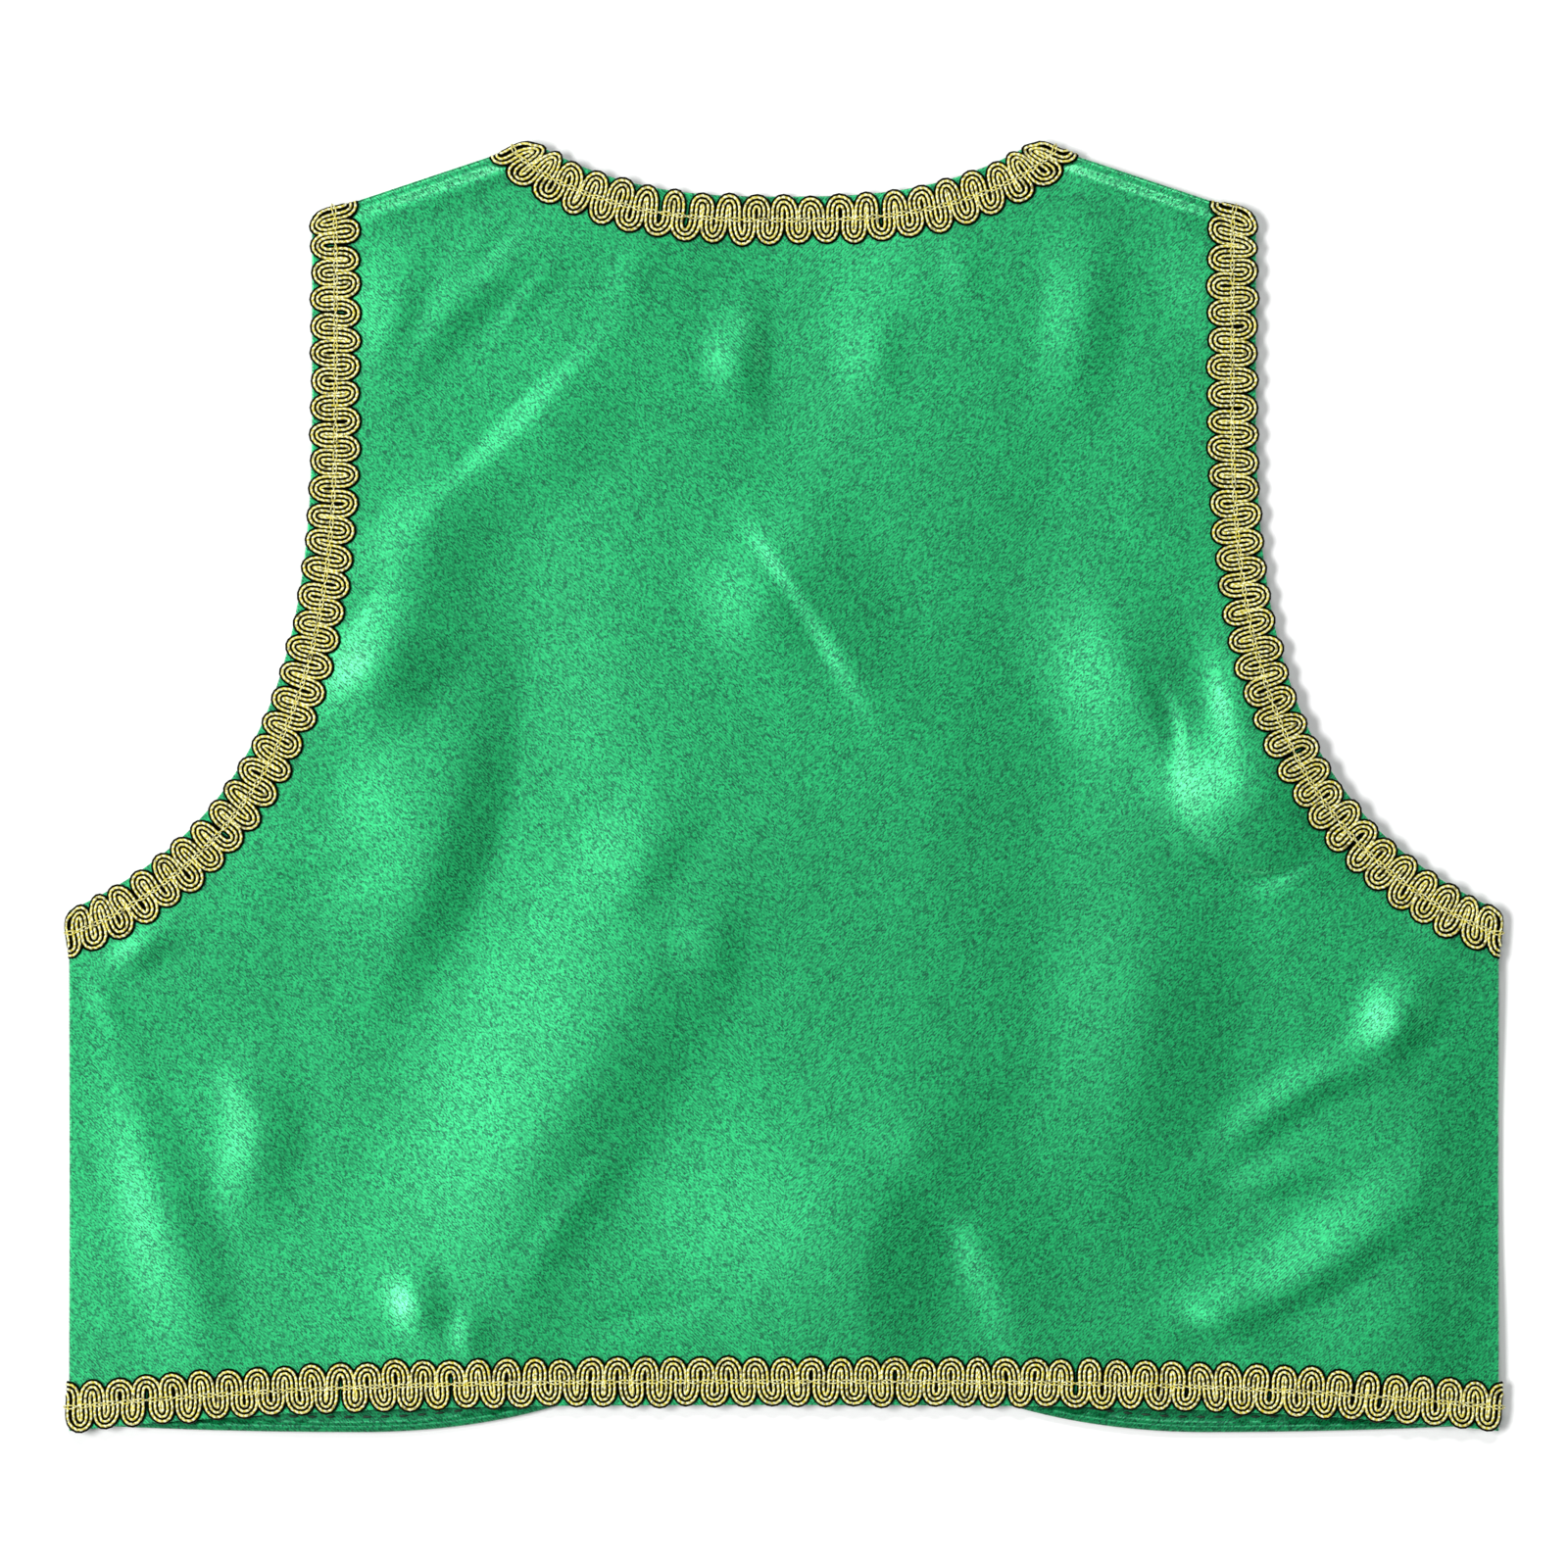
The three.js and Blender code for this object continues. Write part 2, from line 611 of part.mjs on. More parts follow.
const neckBraid = wrappedGimp(
  'neck_braid',
  gimpStations(
    backNeckPath,
    -1,
    fineSteps,
    foldDirection.shoulderLeft.clone().negate(),
    foldDirection.shoulderRight.clone().negate(),
  ),
  outwardOf.shoulderLeft,
  outwardOf.shoulderRight,
);
const hemBraid = wrappedGimp(
  'hem_braid',
  gimpStations(backHemPath, 1, fineSteps, foldDirection.side, foldDirection.side),
  outwardOf.sideLeft,
  outwardOf.sideRight,
);
const armholeBraidRight = wrappedGimp(
  'armhole_braid_right',
  gimpStations(armhole, 1, fineSteps, foldDirection.side.clone().negate(), foldDirection.shoulderRight),
  outwardOf.sideRight,
  outwardOf.shoulderRight,
);
const armholeBraidLeft = wrappedGimp(
  'armhole_braid_left',
  gimpStations(
    mirroredPath(armhole),
    -1,
    fineSteps,
    foldDirection.side.clone().negate(),
    foldDirection.shoulderLeft,
  ),
  outwardOf.sideLeft,
  outwardOf.shoulderLeft,
);

function frontBraid(name, path, cloth, front, foldAtStart, foldAtEnd) {
  const stations = gimpStations(path, cloth, coarseSteps, foldAtStart, foldAtEnd);
  return gimpMesh(name, gimpUnderFront(stations, front), gold);
}

const down = foldDirection.side.clone().negate();
const up = foldDirection.side;

const vest = new THREE.Group();
vest.add(
  panelMesh('back_panel', back, satin),
  panelMesh('front_panel_right', frontRight, satin),
  panelMesh('front_panel_left', frontLeft, satin),
  neckBraid,
  hemBraid,
  armholeBraidRight,
  armholeBraidLeft,
  frontBraid('front_armhole_braid_right', frontArmhole, 1, frontRight, down, foldDirection.shoulderRight),
  frontBraid(
    'front_armhole_braid_left',
    mirroredPath(frontArmhole),
    -1,
    frontLeft,
    down,
    foldDirection.shoulderLeft,
  ),
  frontBraid(
    'front_edge_braid_right',
    frontOpening,
    -1,
    frontRight,
    up,
    foldDirection.shoulderRight.clone().negate(),
  ),
  frontBraid(
    'front_edge_braid_left',
    mirroredPath(frontOpening),
    1,
    frontLeft,
    up,
    foldDirection.shoulderLeft.clone().negate(),
  ),
);

export default vest;
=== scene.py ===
import math

import bpy
import numpy as np
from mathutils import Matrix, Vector
from mathutils.bvhtree import BVHTree


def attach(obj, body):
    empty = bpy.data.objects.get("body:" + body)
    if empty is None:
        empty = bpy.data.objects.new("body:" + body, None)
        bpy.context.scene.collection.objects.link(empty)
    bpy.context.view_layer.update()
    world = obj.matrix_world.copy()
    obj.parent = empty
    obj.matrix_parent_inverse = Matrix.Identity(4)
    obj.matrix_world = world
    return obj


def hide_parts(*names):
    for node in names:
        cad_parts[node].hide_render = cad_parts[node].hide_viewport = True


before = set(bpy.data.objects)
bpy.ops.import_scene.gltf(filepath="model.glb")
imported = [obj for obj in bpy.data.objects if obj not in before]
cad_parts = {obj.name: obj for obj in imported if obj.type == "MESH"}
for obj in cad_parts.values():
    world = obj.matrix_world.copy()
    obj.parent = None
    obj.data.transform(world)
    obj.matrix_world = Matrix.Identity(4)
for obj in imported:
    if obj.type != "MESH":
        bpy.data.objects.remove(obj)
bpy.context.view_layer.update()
mm = 0.001
scene = bpy.context.scene


def addObject(name, data):
    made = bpy.data.objects.new(name, data)
    scene.collection.objects.link(made)
    return made


# Camera: straight above the vest, which lies flat with its back up.

view = {
    "frameWidth": 438.4,      # mm of floor that the photograph's frame spans
    "lens": 265.0,            # long, from about 3 m
    "sensor": 36.0,
    "clothHeight": 5.0,       # mm, the level that is at that scale
    "centre": (0.0, 0.0),
    "clipStart": 0.01,        # m
}

cameraData = bpy.data.cameras.new("camera")
cameraData.lens = view["lens"]
cameraData.sensor_width = view["sensor"]
cameraData.clip_start = view["clipStart"]
camera = addObject("camera", cameraData)
cameraDistance = view["frameWidth"] * view["lens"] / view["sensor"]
camera.location = Vector((*view["centre"], cameraDistance + view["clothHeight"])) * mm
scene.camera = camera
print("camera", round(cameraDistance), "mm above the cloth")


# Sockets that can be added, subtracted, multiplied and divided, for shaders and for geometry.

class Wire:
    def __init__(self, graph, socket):
        self.graph = graph
        self.socket = socket

    def maths(self, operation, *values):
        return self.graph.maths(operation, self, *values)


def overload(symbol, operation):
    setattr(Wire, f"__{symbol}__", lambda wire, other: wire.graph.maths(operation, wire, other))
    setattr(Wire, f"__r{symbol}__", lambda wire, other: wire.graph.maths(operation, other, wire))


for symbol, operation in (("add", "ADD"), ("sub", "SUBTRACT"), ("mul", "MULTIPLY"), ("truediv", "DIVIDE")):
    overload(symbol, operation)


class Graph:
    def __init__(self, tree):
        self.tree = tree

    def node(self, kind, settings=None, inputs=None):
        made = self.tree.nodes.new(kind)
        for key, value in (settings or {}).items():
            setattr(made, key, value)
        self.feed(made, inputs or {})
        return made

    def feed(self, made, inputs):
        for key, value in inputs.items():
            if isinstance(value, Wire):
                self.tree.links.new(value.socket, made.inputs[key])
            else:
                made.inputs[key].default_value = value

    def out(self, made, key=0):
        return Wire(self, made.outputs[key])

    def wire(self, kind, settings=None, inputs=None, key=0):  # a new node's output
        return self.out(self.node(kind, settings, inputs), key)

    def maths(self, operation, *values):
        return self.wire("ShaderNodeMath", {"operation": operation}, dict(enumerate(values)))

    def vector(self, x, y, z):
        return self.wire("ShaderNodeCombineXYZ", None, {0: x, 1: y, 2: z})

    def vectorMaths(self, operation, *values, key=0):
        inputs = {}
        for place, value in enumerate(values):
            inputs["Scale" if operation == "SCALE" and place == 1 else place] = value
        return self.wire("ShaderNodeVectorMath", {"operation": operation}, inputs, key)

    def mixColours(self, share, low, high):
        colourFactor, colourA, colourB, colourResult = 0, 6, 7, 2   # the Mix node's colour sockets
        inputs = {colourFactor: share, colourA: low, colourB: high}
        return self.wire("ShaderNodeMix", {"data_type": "RGBA"}, inputs, colourResult)

    def noise(self, place, scale, detail=2.0, roughness=0.5):
        inputs = {"Vector": place, "Scale": scale, "Detail": detail, "Roughness": roughness}
        return self.wire("ShaderNodeTexNoise", None, inputs, "Fac")

    def random(self, place):
        settings = {"noise_dimensions": "2D"}
        return self.wire("ShaderNodeTexWhiteNoise", settings, {"Vector": place}, "Value")

    def spread(self, value, low, high, newLow=0.0, newHigh=1.0):
        inputs = {0: value, 1: low, 2: high, 3: newLow, 4: newHigh}
        return self.wire("ShaderNodeMapRange", {"clamp": True}, inputs)


def newMaterial(name):
    material = bpy.data.materials.new(name)
    material.use_nodes = True
    graph = Graph(material.node_tree)
    shader = material.node_tree.nodes["Principled BSDF"]
    return material, graph, shader


def colour(red, green, blue):  # from screen values, 0 to 255
    def linear(value):
        value = value / 255
        return value / 12.92 if value <= 0.04045 else ((value + 0.055) / 1.055) ** 2.4
    return (linear(red), linear(green), linear(blue), 1.0)


def shaded(tint, share):
    return tuple(share * value for value in tint[:3]) + (1.0,)


# Green satin: fine twill floats that mirror about the centre back, a sparkling grain and a soft gloss.
# The scales here and below are of noise, in cells to a metre.

satinLook = {
    "deep": colour(2, 62, 27),
    "pale": colour(28, 214, 122),
    "shade": 1.0,
    "twillPitch": 0.66,       # mm between two twill lines
    "twillWander": 2.0,       # radians that a line strays
    "wanderScale": 900.0,
    "twillShare": 0.6,        # of the lines in the grain
    "patchScale": 55.0,
    "patchSpread": (0.42, 0.66, 0.3, 1.0),      # where the lines show, and how much
    "floatLength": 0.6,       # mm of a thread that shows before it dips
    "floatWidth": 0.33,
    "floatShare": 2.2,
    "otherHalf": 5000.0,      # rows further on, so that the two halves have unlike threads
    "coarseScale": 900.0,
    "coarseRoughness": 0.7,
    "coarseSpread": (0.36, 0.64, -0.1, 0.1),
    "threadRange": 1.2,
    "cloudScale": 14.0,
    "cloudSpread": (0.3, 0.7),
    "cloudShare": 0.12,
    "roughness": 0.43,
    "roughnessSwing": 0.08,   # from the raised threads to the dipping ones
    "glossIor": 2.1,
    "glossTint": (0.33, 1.0, 0.9, 1.0),
    "metallic": 0.55,
    "coat": 0.5,              # on average: the dipping threads have none
    "coatRoughness": 0.28,
    "bump": 0.004,            # mm that the threads stand up
    "ripple": 0.5,            # mm of the slight ripples of the cloth
    "rippleSize": 30.0,       # mm
    "rippleRoughness": 0.45,
}


def makeSatin(name, look):
    material, graph, shader = newMaterial(name)
    place = graph.wire("ShaderNodeUVMap", {"uv_map": "cloth"})
    parts = graph.node("ShaderNodeSeparateXYZ", None, {0: place})
    x, y = graph.out(parts, "X"), graph.out(parts, "Y")
    fromCentre = x.maths("ABSOLUTE")
    alongTwill = (y + fromCentre) * math.sqrt(0.5)
    acrossTwill = (y - fromCentre) * math.sqrt(0.5)
    wander = graph.noise(place, look["wanderScale"], 1.0) * look["twillWander"]
    lines = (acrossTwill * (2 * math.pi / (look["twillPitch"] * mm)) + wander).maths("SINE")
    half = x.maths("GREATER_THAN", 0.0) * look["otherHalf"]
    row = (acrossTwill / (look["floatWidth"] * mm)).maths("FLOOR") + half
    shift = graph.random(graph.vector(row, 0.5, 0.0))
    cell = (alongTwill / (look["floatLength"] * mm) + shift).maths("FLOOR")
    floats = graph.random(graph.vector(row, cell, 0.0)) * look["floatShare"] - look["floatShare"] / 2
    coarse = graph.noise(place, look["coarseScale"], 2.0, look["coarseRoughness"])
    twillShow = graph.spread(graph.noise(place, look["patchScale"]), *look["patchSpread"])
    thread = lines * twillShow * look["twillShare"] + floats + graph.spread(coarse, *look["coarseSpread"])
    tone = graph.spread(thread, -look["threadRange"], look["threadRange"])
    deep, pale = shaded(look["deep"], look["shade"]), shaded(look["pale"], look["shade"])
    body = graph.mixColours(tone, deep, pale)
    cloud = graph.spread(graph.noise(place, look["cloudScale"]), *look["cloudSpread"])
    swing = look["roughnessSwing"]
    ripple = graph.noise(place, 1 / (look["rippleSize"] * mm), 2.0, look["rippleRoughness"])
    height = thread + ripple * (look["ripple"] / look["bump"])
    graph.feed(shader, {
        "Base Color": graph.mixColours(cloud * look["cloudShare"], body, deep),
        "Roughness": look["roughness"] + tone * -swing + swing / 2,
        "Normal": graph.wire("ShaderNodeBump", None, {"Distance": look["bump"] * mm, "Height": height}),
        "IOR": look["glossIor"],
        "Specular Tint": look["glossTint"],
        "Metallic": look["metallic"],
        "Coat Weight": tone * (2 * look["coat"]),
        "Coat Roughness": look["coatRoughness"],
    })
    return material


# The inside of the satin: a duller gloss, as the wrong side of satin has, and half as bright, partly for
# that duller wrong side and partly painted shade where the fronts lie under the back's hem and braid.
insidePaintedShadeLook = {**satinLook, "shade": 0.5, "metallic": 0.3, "glossIor": 1.6, "coat": 0.1}
satin = makeSatin("greenSatin", satinLook)
satinInsidePaintedShade = makeSatin("greenSatinInsidePaintedShade", insidePaintedShadeLook)


# Gold metallic yarn, yellow with brown blotches and the plies' twist. Painted highlight: cream glints from
# the twist and the fibres. Painted shade: each cord darkens where its side turns from the crown.

goldLook = {
    "bright": colour(250, 255, 222),
    "yellow": colour(208, 192, 12),
    "brown": colour(84, 74, 4),
    "dark": colour(9, 8, 1),
    # Painted shade: how far a cord's side turns from the crown before it is painted dark.
    "paintedShadeBelow": 0.5,            # how far a cord's side turns from the crown before it is dark
    "crown": 0.84,
    "metallic": 0.12,
    "plyPitch": 1.5,          # mm along the cord for one turn of a ply
    "plyShine": 0.1,
    "plyCrown": 0.06,
    "fibreScale": 2600.0,
    "fibreRoughness": 0.6,
    "shineSpread": (0.42, 0.62),
    "blotchScale": 800.0,
    "yellowSpread": (0.52, 0.7, 0.0, 0.8),      # where a blotch is plain yellow, and how much
    "brownSpread": (0.3, 0.46, 0.85, 0.0),
    "roughness": 0.3,
    "roughnessSwing": 0.2,
    "bump": 0.12,             # mm
    "bumpStrength": 0.5,
    "plyBump": 0.6,
}


def makeGold(name, look):
    material, graph, shader = newMaterial(name)

    def attribute(key):
        return graph.wire("ShaderNodeAttribute", {"attribute_name": key}, key="Fac")

    turns = attribute("along") * (2 * math.pi / (look["plyPitch"] * mm))
    ply = turns.maths("SINE") * attribute("cosineTurn") - turns.maths("COSINE") * attribute("sineTurn")
    place = graph.wire("ShaderNodeTexCoord", key="Object")
    fibre = graph.noise(place, look["fibreScale"], 2.0, look["fibreRoughness"])
    blotch = graph.noise(place, look["blotchScale"])
    # Painted highlight: cream glints along the plies' twist and the fibres.
    shine = graph.spread(ply * look["plyShine"] + fibre, *look["shineSpread"])
    body = graph.mixColours(shine, look["yellow"], look["bright"])
    body = graph.mixColours(graph.spread(blotch, *look["yellowSpread"]), body, look["yellow"])
    body = graph.mixColours(graph.spread(blotch, *look["brownSpread"]), body, look["brown"])
    # Painted shade: the yarn's colour turns to the dark colour as a cord's side turns from the crown.
    lit = graph.spread(attribute("crown") + ply * look["plyCrown"], look["paintedShadeBelow"], look["crown"])
    bump = graph.wire("ShaderNodeBump", None, {
        "Strength": look["bumpStrength"],
        "Distance": look["bump"] * mm,
        "Height": ply * look["plyBump"] + fibre,
    })
    graph.feed(shader, {
        "Base Color": graph.mixColours(lit, look["dark"], body),
        "Metallic": 1.0 - lit * (1 - look["metallic"]),      # no white gloss on a cord's painted shade
        "Roughness": look["roughness"] + fibre * look["roughnessSwing"],
        "Normal": bump,
    })
    return material


gold = makeGold("goldYarn", goldLook)


# Green sewing thread, a little darker than the cloth.

threadLook = {
    "tint": colour(4, 48, 26),
    "shade": 0.5,
    "fibreScale": 3000.0,
    "fibreRoughness": 0.6,
    "roughness": 0.6,
}


def makeThread(name, look):
    material, graph, shader = newMaterial(name)
    place = graph.wire("ShaderNodeTexCoord", key="Object")
    fibre = graph.noise(place, look["fibreScale"], 2.0, look["fibreRoughness"])
    body = graph.mixColours(fibre, shaded(look["tint"], look["shade"]), look["tint"])
    graph.feed(shader, {"Base Color": body, "Roughness": look["roughness"]})
    return material


sewingThread = makeThread("greenThread", threadLook)
print("materials made")


# The cut of the vest, in millimetres: the same outline as the solids'.

cut = {
    "sideX": 200.0,
    "underarmY": -35.4,
    "shoulderX": 132.0,
    "shoulderY": 158.9,
    "neckX": 70.0,
    "neckY": 179.6,
    "backNeckY": 164.4,
    "backNeckPower": 2.8,
    "armholeStraightY": 104.0,
    "armholePullY": 33.0,
    "armholeTurn": (147.0, -11.6),
    "frontScoop": 4.0,
    "backHemY": -173.7,
    "backHemDrop": 7.3,
    "backHemPower": 2.9,
    "frontHemY": -181.4,
    "frontHemRise": 2.2,
    "cornerX": 118.0,
    "cornerReach": 100.0,
    "cornerRise": 46.0,
    "cornerMiddle": 50.0,     # degrees round the corner where the hem and the front edge meet
    "hemTurnShare": 0.45,
    "frontNeckStartY": 20.0,
    "frontNeckPower": 1.8,
}
tipPoint = (cut["shoulderX"], cut["shoulderY"])
neckPoint = (cut["neckX"], cut["neckY"])
underarm = (cut["sideX"], cut["underarmY"])
edgeSteps = 400               # points along each stretch of an edge

# The rows and columns of the solids' grids, as shares of each edge.
sidePart, armholePart = 15, 20                  # a side of the back
shoulderPart, neckPart = 8, 22                  # the top of the back
frontSidePart, frontArmholePart = 11, 15        # the outer side of a front
cornerPart = 4                                  # the corner of a front, on its inner side
frontColumns = 12
backRows = sidePart + armholePart
backColumns = 2 * shoulderPart + neckPart
frontRows = frontSidePart + frontArmholePart
hands = {"right": 1, "left": -1}


def runsOf(points):           # mm from the first point to each
    return np.concatenate([[0], np.cumsum(np.linalg.norm(np.diff(points, axis=0), axis=1))])


def evenly(points, count=edgeSteps):
    points = np.asarray(points, float)
    runs = runsOf(points)
    wanted = np.linspace(0, runs[-1], count + 1)
    return np.column_stack([np.interp(wanted, runs, points[:, axis]) for axis in range(points.shape[1])])


def lengthOf(points):
    return float(np.linalg.norm(np.diff(points, axis=0), axis=1).sum())


def mirrored(points):
    return points * np.array([-1.0, 1.0])


def straight(start, end):
    return np.linspace(start, end, edgeSteps + 1)


def smooth(low, high, value):
    share = np.clip((value - low) / (high - low), 0, 1)
    return share * share * (3 - 2 * share)


def bowedLine(halfWidth, middleY, rise, power):
    x = np.linspace(-halfWidth, halfWidth, edgeSteps + 1)
    return np.column_stack([x, middleY + rise * (abs(x) / halfWidth) ** power])


def backHemLine():
    return bowedLine(cut["sideX"], cut["backHemY"], -cut["backHemDrop"], cut["backHemPower"])


def backNeckLine():
    rise = cut["neckY"] - cut["backNeckY"]
    return bowedLine(cut["neckX"], cut["backNeckY"], rise, cut["backNeckPower"])


def shoulderLine():
    return straight(neckPoint, tipPoint)


def backSideLine():
    low = cut["backHemY"] - cut["backHemDrop"]
    return straight((cut["sideX"], low), underarm)


def frontSideLine():
    low = cut["frontHemY"] + cut["frontHemRise"]
    return straight((cut["sideX"], low), underarm)


def armholeLine(scoop=0.0):
    t = np.linspace(0, 1, edgeSteps + 1)[:, None]
    x = cut["shoulderX"]
    pulls = np.array([underarm, cut["armholeTurn"], (x, cut["armholePullY"]), (x, cut["armholeStraightY"])])
    curve = sum(math.comb(3, k) * t ** k * (1 - t) ** (3 - k) * pull for k, pull in enumerate(pulls))
    top = straight(curve[-1], tipPoint)[1:]
    points = evenly(np.vstack([curve, top]))
    inward = scoop * np.sin(np.linspace(0, math.pi, len(points)))
    return points - np.column_stack([inward, inward / 2])


def cornerPoints(angles):
    x = cut["cornerX"] - cut["cornerReach"] * np.cos(angles)
    y = cut["frontHemY"] + cut["cornerRise"] * (1 - np.sin(angles))
    return np.column_stack([x, y])


def frontHemLine():
    t = np.linspace(0, 1, edgeSteps + 1)
    middle = math.radians(cut["cornerMiddle"])
    turned = np.clip(t / cut["hemTurnShare"], 0, 1)
    points = cornerPoints(middle + (math.pi / 2 - middle) * turned)
    along = np.clip((t - cut["hemTurnShare"]) / (1 - cut["hemTurnShare"]), 0, 1)
    run = cut["sideX"] - cut["cornerX"]
    return evenly(points + np.column_stack([run * along, cut["frontHemRise"] * along ** 2]))


def frontCornerLine():
    return evenly(cornerPoints(math.radians(cut["cornerMiddle"]) * np.linspace(1, 0, edgeSteps + 1)))


def frontEdgeLine():
    t = np.linspace(0, 1, edgeSteps + 1)
    low = cut["frontHemY"] + cut["cornerRise"]
    y = low + (cut["neckY"] - low) * t
    lean = np.clip((y - cut["frontNeckStartY"]) / (cut["neckY"] - cut["frontNeckStartY"]), 0, 1)
    start = cut["cornerX"] - cut["cornerReach"]
    return evenly(np.column_stack([start + (cut["neckX"] - start) * lean ** cut["frontNeckPower"], y]))


# An edge made of stretches that each take a share of it, as a function from 0 to 1.
def edgeOf(*stretches):
    whole = sum(part for points, part in stretches)
    shares, places, before = [], [], 0
    for points, part in stretches:
        even = evenly(points)
        shares.append((before + part * np.linspace(0, 1, len(even))) / whole)
        places.append(even)
        before += part
    shares, places = np.concatenate(shares), np.concatenate(places)

    def at(share):
        return np.column_stack([np.interp(share, shares, places[:, axis]) for axis in (0, 1)])
    return at


def blendSheet(edges, across, up):
    hem, top = edges["hem"](across), edges["top"](across)
    left, right = edges["left"](up), edges["right"](up)
    u, v = across[None, :, None], up[:, None, None]
    between = left[:, None] * (1 - u) + right[:, None] * u
    along = hem[None] * (1 - v) + top[None] * v
    low = hem[0] * (1 - u) + hem[-1] * u
    high = top[0] * (1 - u) + top[-1] * u
    return between + along - (low * (1 - v) + high * v)


backRight = [(backSideLine(), sidePart), (armholeLine(), armholePart)]
backEdges = {
    "hem": edgeOf((backHemLine(), 1)),
    "top": edgeOf(
        (mirrored(shoulderLine())[::-1], shoulderPart),
        (backNeckLine(), neckPart),
        (shoulderLine(), shoulderPart),
    ),
    "left": edgeOf(*[(mirrored(points), part) for points, part in backRight]),
    "right": edgeOf(*backRight),
}
frontEdges = {
    "hem": edgeOf((frontHemLine(), 1)),
    "top": edgeOf((shoulderLine(), 1)),
    "left": edgeOf(
        (frontCornerLine(), cornerPart),
        (frontEdgeLine(), frontRows - cornerPart),
    ),
    "right": edgeOf((frontSideLine(), frontSidePart), (armholeLine(cut["frontScoop"]), frontArmholePart)),
}


def namedRows(columns, rows):
    return [dict(zip(columns, row)) for row in rows]


# Folds of the back, as in the solids. Each rises over a band twice as wide as `wide` about (x, y), and
# falls away over `fall`. Its crest runs for about `long` either way at `turn` degrees from +X with the
# high side on its left, and is bowed by `bow` at its ends. All but turn are in millimetres.
foldColumns = ("x", "y", "turn", "long", "wide", "fall", "height", "bow")
folds = namedRows(foldColumns, [
    (-75, 101, -136, 26, 3.5, 26, 1.3, 1),   # blade crease
    (-108, 72, -132, 18, 8, 22, 1.1, 3),     # left blade slope
    (-96, 140, -138, 24, 8, 10, 1.0, -3),    # left tip pull
    (9, 44, -57, 24, 3.5, 24, 1.3, 1),       # middle crease
    (-14, 48, -62, 16, 12, 12, 1.6, 0),      # middle slope
    (-118, 40, -132, 17, 8, 20, 2.4, 1),     # armhole swell
    (123, -6, -58, 26, 14, 22, 4.0, -6),     # underarm fold
    (84, 26, -60, 28, 15, 20, 2.4, 3),       # right blade slope
    (167, -62, -118, 11, 8, 9, 2.3, 0),      # right side dimple
    (84, -62, -97, 46, 17, 30, 2.0, 4),      # right side roll
    (146, -80, -152, 30, 5, 7, 1.2, -4),     # right side crease
    (146, -129, -150, 36, 8, 9, 1.7, 4),     # right hem swell
    (150, -128, -96, 44, 34, 30, 3.0, 0),    # right hem rise
    (-84, -80, -118, 60, 24, 30, 2.3, -6),   # diagonal roll
    (-112, -8, -108, 36, 18, 16, 2.6, 4),    # left blade swell
    (-153, -98, -96, 20, 7, 14, 1.0, 2),     # left side roll
    (-180, -124, -72, 36, 9, 14, 1.1, 2),    # left seam roll
    (-10, -120, -102, 33, 34, 26, 3.6, -6),  # hem swell
    (48, -126, -59, 30, 6, 24, 1.5, 3),      # hem crease
    (-106, -148, -60, 8, 5, 9, 1.3, 0),      # left dimple
    (122, -154, -30, 13, 5, 10, 1.1, 0),     # right dimple
    (77, 132, -96, 22, 8, 12, 1.2, 2),       # shoulder fall
    (-18, 120, -90, 11, 7, 8, 1.6, 0),       # left neck pull
    (20, 120, -90, 10, 7, 8, 0.5, 0),        # right neck pull
])

# Smaller folds of the same kind, too fine for the solids.
smallFolds = namedRows(foldColumns, [
    (-116, 136, -112, 16, 8, 9, 0.9, 0),   # left tip swell
    (112, 138, -75, 16, 9, 10, 1.0, 0),    # right tip swell
    (121, 24, -72, 12, 5, 8, 1.0, 0),      # armhole ripple
    (136, -106, -176, 12, 5, 7, 1.0, 2),   # right crease
    (-91, -154, -80, 6, 3.5, 6, 0.8, 0),   # left spot
    (-182, -44, -150, 9, 2.5, 8, 0.9, 0),  # left underarm
    (183, -44, -30, 9, 2.5, 8, 0.9, 0),    # right underarm
    (-46, -14, -125, 16, 10, 12, 0.8, 0),  # upper spot
    (-26, -46, -95, 9, 7, 8, 0.7, 0),      # middle spot
    (-46, 143, -112, 9, 4, 8, 0.25, 0),    # left neck fall
    (47, 143, -70, 9, 4, 8, 0.45, 0),      # right neck fall
    (-1, 60, -55, 15, 3.5, 24, 1.1, 0),    # middle rise
    (112, -10, -60, 20, 9, 50, 1.2, -3),   # underarm swell
    (-193, -62, -60, 8, 3, 5, 0.8, 0),     # side bit high
    (-155, -88, -40, 7, 4, 6, 0.35, 0),    # side bit low
])

# Fine creases: ridges, or troughs where the height is negative.
creases = namedRows(("x", "y", "turn", "long", "wide", "height", "bow"), [
    (-74, 102, 44, 24, 1.8, 0.22, 1),    # blade line
    (9, 44, -57, 18, 1.8, 0.18, 1),      # middle line
    (107, 21, -72, 13, 2.6, -0.6, 2),    # armhole dent
    (131, -27, -5, 14, 2.4, -0.9, -7),   # underarm edge
    (-71, 137, 50, 13, 2.6, 0.35, 1),    # shoulder ridge
    (-83, 148, 44, 12, 2.6, -0.35, -1),  # shoulder trough
    (170, -76, 14, 17, 3, -0.7, -2),     # side shadow
    (-60, -120, 55, 24, 4, 0.5, 2),      # hem tuck
    (-40, -148, 12, 16, 3, -0.35, 1),    # left hem pull
])


def acrossFold(fold, plan):
    angle = math.radians(fold["turn"])
    x, y = plan[..., 0] - fold["x"], plan[..., 1] - fold["y"]
    along = (x * math.cos(angle) + y * math.sin(angle)) / fold["long"]
    across = y * math.cos(angle) - x * math.sin(angle) + fold["bow"] * along ** 2
    return along, across


